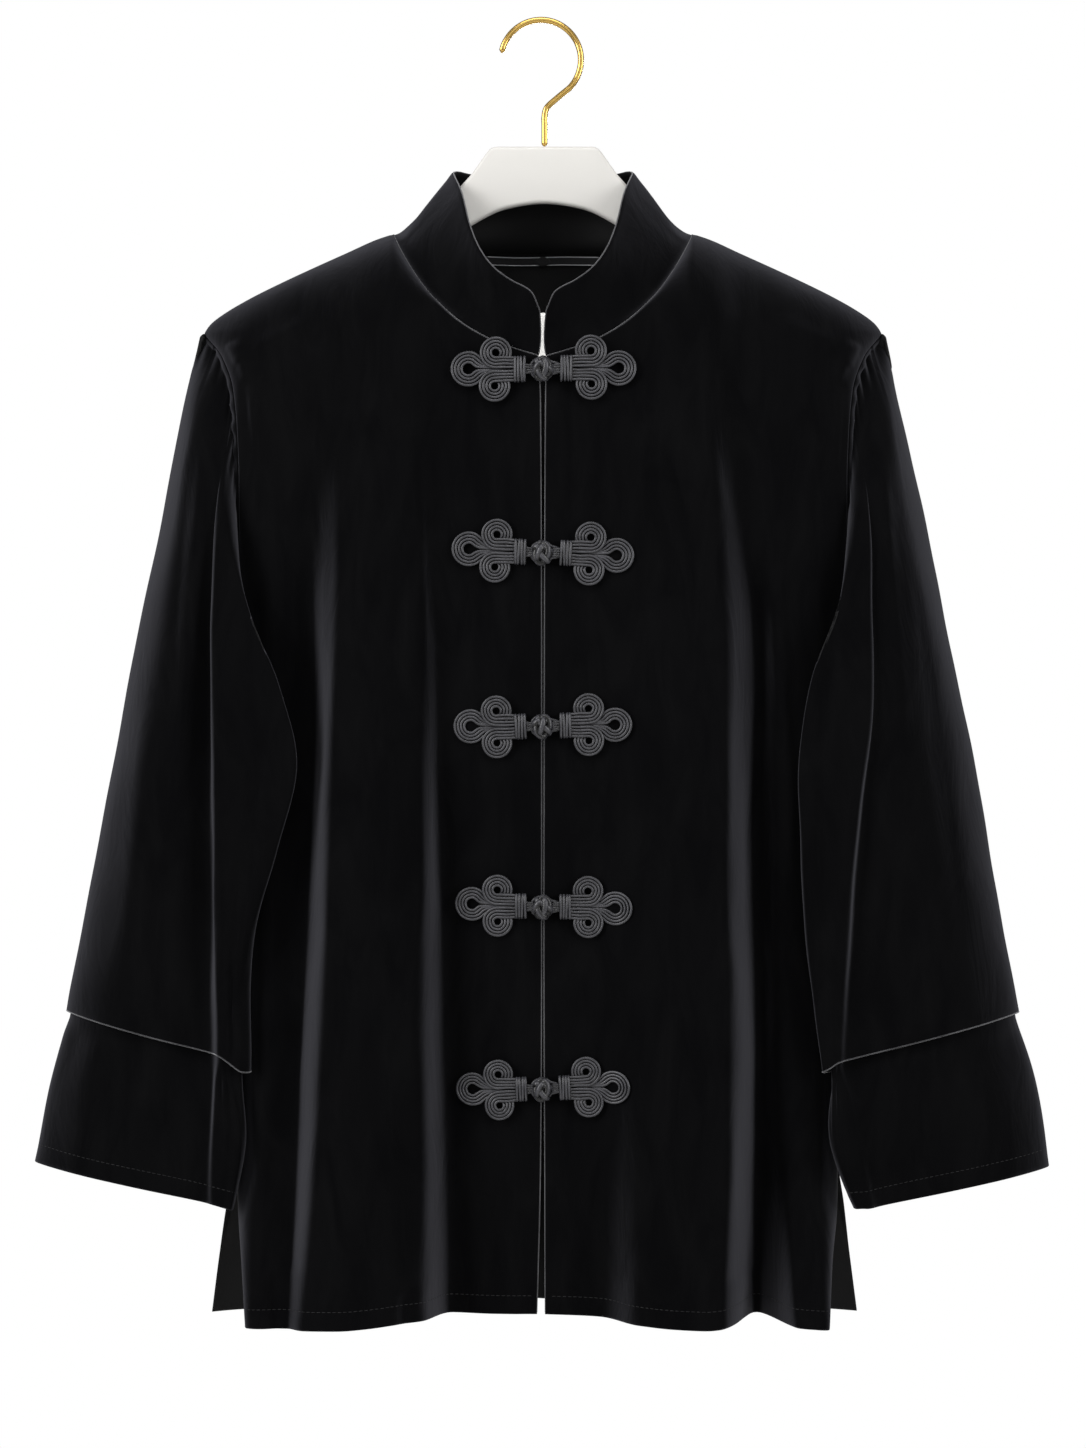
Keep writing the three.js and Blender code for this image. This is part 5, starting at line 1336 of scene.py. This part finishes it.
def inner_strip(name, size, look):
    """A strip inside the back, following the panel behind it, and the grid of its middle."""
    place = np.linspace(0, 2, 200)
    rows, columns = size["grid"]
    x = np.linspace(-size["half"], size["half"], columns)
    z = np.linspace(size["top"], size["bottom"], rows)[:, None] + 0 * x
    depth = np.empty(z.shape)
    for side, name_half in ((-1, "back_left"), (1, "back_right")):
        points = panel_points(name_half, place, np.repeat(z[:, :1], len(place), 1))
        near = np.stack([np.interp(np.abs(x), np.abs(r[:, 0]), r[:, 1]) for r in points])
        depth = np.where(np.sign(x) == side, near, depth)
    depth = np.where(x == 0, near, depth) - CLOTH / 2 - INNER_GAP - size["wall"] / 2
    grid = np.stack([x + 0 * z, depth, z + size["sag"] * np.sin(x / STRIP_WAVE)], -1)
    normals = np.broadcast_to(np.array([0.0, -1, 0]), grid.shape)
    near_edge = np.minimum(*(from_ends(lengths(grid, axis), axis) for axis in (0, 1)))
    half = np.interp(near_edge, STRIP_RIM[0], [*STRIP_RIM[1], size["wall"] / 2])
    part = shell(grid, normals, False, half)
    return make_piece(name, [part], [look, look]), grid


def make_tape_trim(grid):
    """Lines of painted highlight along the neck tape's edges, and the flat keeper sewn over its
    middle.
    """
    lift = [0, -TAPE["wall"] * 0.6, 0]
    lines = [tube(grid[row] + lift, TAPE_EDGE, sides=6) for row in (0, -1)]
    middle = grid[:, grid.shape[1] // 2]
    ends = [middle[0] + [0, -KEEPER["off"], 0.4], middle[-1] + [0, -KEEPER["off"], -1]]
    keeper = tube(mix(ends[0], ends[1], np.linspace(0, 1, 7)[:, None]), KEEPER["half"],
                  sides=24, flat=KEEPER["flat"])
    keeper["material"] = [1] * len(keeper["faces"])
    return make_piece("neck_tape_trim", [*lines, keeper], [tape_edge_highlight, dark_tape])


CLOTH_PIECES = {
    # name: (object, closed, flat width and length in metres, what it hangs from)
    "front_left": ("jacket_front_left", False, (0.25, 0.72), ["hanger_board"]),
    "front_right": ("jacket_front_right", False, (0.25, 0.72), ["hanger_board"]),
    "back": ("jacket_back", False, (0.48, 0.72), ["hanger_board"]),
    "sleeve_left": ("jacket_sleeve_left", True, (0.36, 0.50), ["hanger_board"]),
    "sleeve_right": ("jacket_sleeve_right", True, (0.36, 0.50), ["hanger_board"]),
    "cuff_left": ("jacket_cuff_left", True, (0.29, 0.13), ["jacket_sleeve_left"]),
    "cuff_right": ("jacket_cuff_right", True, (0.29, 0.13), ["jacket_sleeve_right"]),
    "collar": ("jacket_collar", False, (0.42, 0.06), ["jacket_front_left"]),
}

pieces = {}


def stand_for(node, piece):
    """Says which node a piece replaces."""
    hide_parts(node)
    pieces[node] = piece


stand_for("hanger_body", make_hanger())
stand_for("hanger_hook", make_hook())
edges, stitching = make_edges(), make_stitches()

for node, (name, closed, _, _) in CLOTH_PIECES.items():
    panel = panels[node]
    wall = shell(panel["grid"], panel["normals"], closed, panel["half"])
    stand_for(node, make_piece(name, [wall], [velvet, lining]))

for index in range(len(FROG_Z)):
    for side, which in SIDES:
        stand_for(f"frog_{which}_{index + 1}", make_frog(index, side, which))
    stand_for(f"knot_{index + 1}", make_knot(index))

tape, tape_grid = inner_strip("neck_tape_woven", TAPE, dark_tape)
label, _ = inner_strip("label_woven", LABEL, white_label)
tape_trim = make_tape_trim(tape_grid)
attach(tape_trim, "root")
stand_for("neck_tape", tape)
stand_for("label", label)

WORN_ON = {"front_left": ["front_left_edge"], "front_right": ["front_right_edge"],
           "collar": ["collar_edge", "neck_seam_line"], "sleeve_left": ["sleeve_left_edge"],
           "sleeve_right": ["sleeve_right_edge"]}
for node, (name, closed, flat, rests_on) in CLOTH_PIECES.items():
    with_pieces = [edges[edge] for edge in WORN_ON.get(node, [])]
    with_pieces += [stitching[node]] if node in stitching else []
    with_pieces += [tape, tape_trim] if node == "back" else []   # too narrow for a sheet
for piece in (*pieces.values(), *edges.values(), *stitching.values()):
    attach(piece, "root")


# ---- stage, light and camera -----------------------------------------------------------------
def make_floor(radius, z):
    """A disk of rings round its middle, far enough down to stay out of the front view."""
    ring = circle(64)
    reach = np.array([0.001, 0.3, 0.6, 1.0])[:, None] * radius
    points = np.stack([reach * np.cos(ring), reach * np.sin(ring), 0 * reach * ring + z], -1)
    mesh = bpy.data.meshes.new("floor")
    faces = grid_faces(4, 64, True)[:, ::-1].tolist() + [list(range(64))]
    mesh.from_pydata(points.reshape(-1, 3).tolist(), [], faces)
    paint, _ = new_material("matt_white_paint")
    mesh.materials.append(surface(paint, {"Base Color": colour("#F2F1EE"), "Roughness": 0.9}))
    floor = put_in_scene("floor", mesh)


def add_light(name, place, target, size, power):
    lamp = bpy.data.lights.new(name, "AREA")
    lamp.shape, lamp.size, lamp.size_y, lamp.energy = "RECTANGLE", size[0], size[1], power
    holder = put_in_scene(name, lamp)
    holder.location = place
    holder.rotation_euler = (Vector(target) - Vector(place)).to_track_quat("-Z", "Y").to_euler()


FLOOR_RADIUS, FLOOR_Z = 3.0, -1.75
ROOM_LIGHT = 0.3
JACKET_MIDDLE = (0, 0, -0.45)
# name: place and target in metres, width and height, watts
SOFTBOXES = {
    "softbox_left": ((-2.2, -1.3, 0.4), JACKET_MIDDLE, (1.0, 2.0), 66),
    "softbox_right": ((2.2, -1.2, 0.2), JACKET_MIDDLE, (1.0, 2.0), 42),
    "softbox_top": ((0, -1.2, 1.7), JACKET_MIDDLE, (1.6, 0.9), 26),
    "softbox_back": ((0.3, 3.0, 0.2), JACKET_MIDDLE, (0.8, 0.8), 45),
    "softbox_front": ((0.3, -3.0, 0.3), (0, 0, -0.2), (1.5, 1.5), 7)}


def set_stage():
    """The floor, the backdrop and the softboxes. The backdrop is white, but the room that lights
    the object is dim, so the softboxes shape it."""
    make_floor(FLOOR_RADIUS, FLOOR_Z)
    world = bpy.data.worlds.new("studio")
    world.use_nodes = True
    tree = world.node_tree
    seen = add(tree, "ShaderNodeLightPath", "Is Camera Ray", {})
    room = (ROOM_LIGHT, ROOM_LIGHT, ROOM_LIGHT, 1)
    put(tree, tree.nodes["Background"],
        {"Strength": 1.0, "Color": blend(tree, seen, room, (1, 1, 1, 1))})
    bpy.context.scene.world = world
    bpy.context.scene.view_settings.view_transform = "Standard"
    for name, (place, target, size, power) in SOFTBOXES.items():
        add_light(name, place, target, size, power)


CAMERA_AWAY = 2.2    # metres in front of the hanger
FRAME_CENTRE_Z = -0.45565
FRAME_HALF_HEIGHT = 0.4706   # half the height seen at the hanger
SENSOR = 24.0


def set_camera():
    camera = bpy.data.cameras.new("camera")
    camera.sensor_fit = "VERTICAL"
    camera.sensor_height = SENSOR
    camera.lens = SENSOR / 2 * CAMERA_AWAY / FRAME_HALF_HEIGHT
    holder = put_in_scene("camera", camera)
    holder.location = (0, -CAMERA_AWAY, FRAME_CENTRE_Z)
    holder.rotation_euler = (np.pi / 2, 0, 0)
    bpy.context.scene.camera = holder


set_stage()
set_camera()
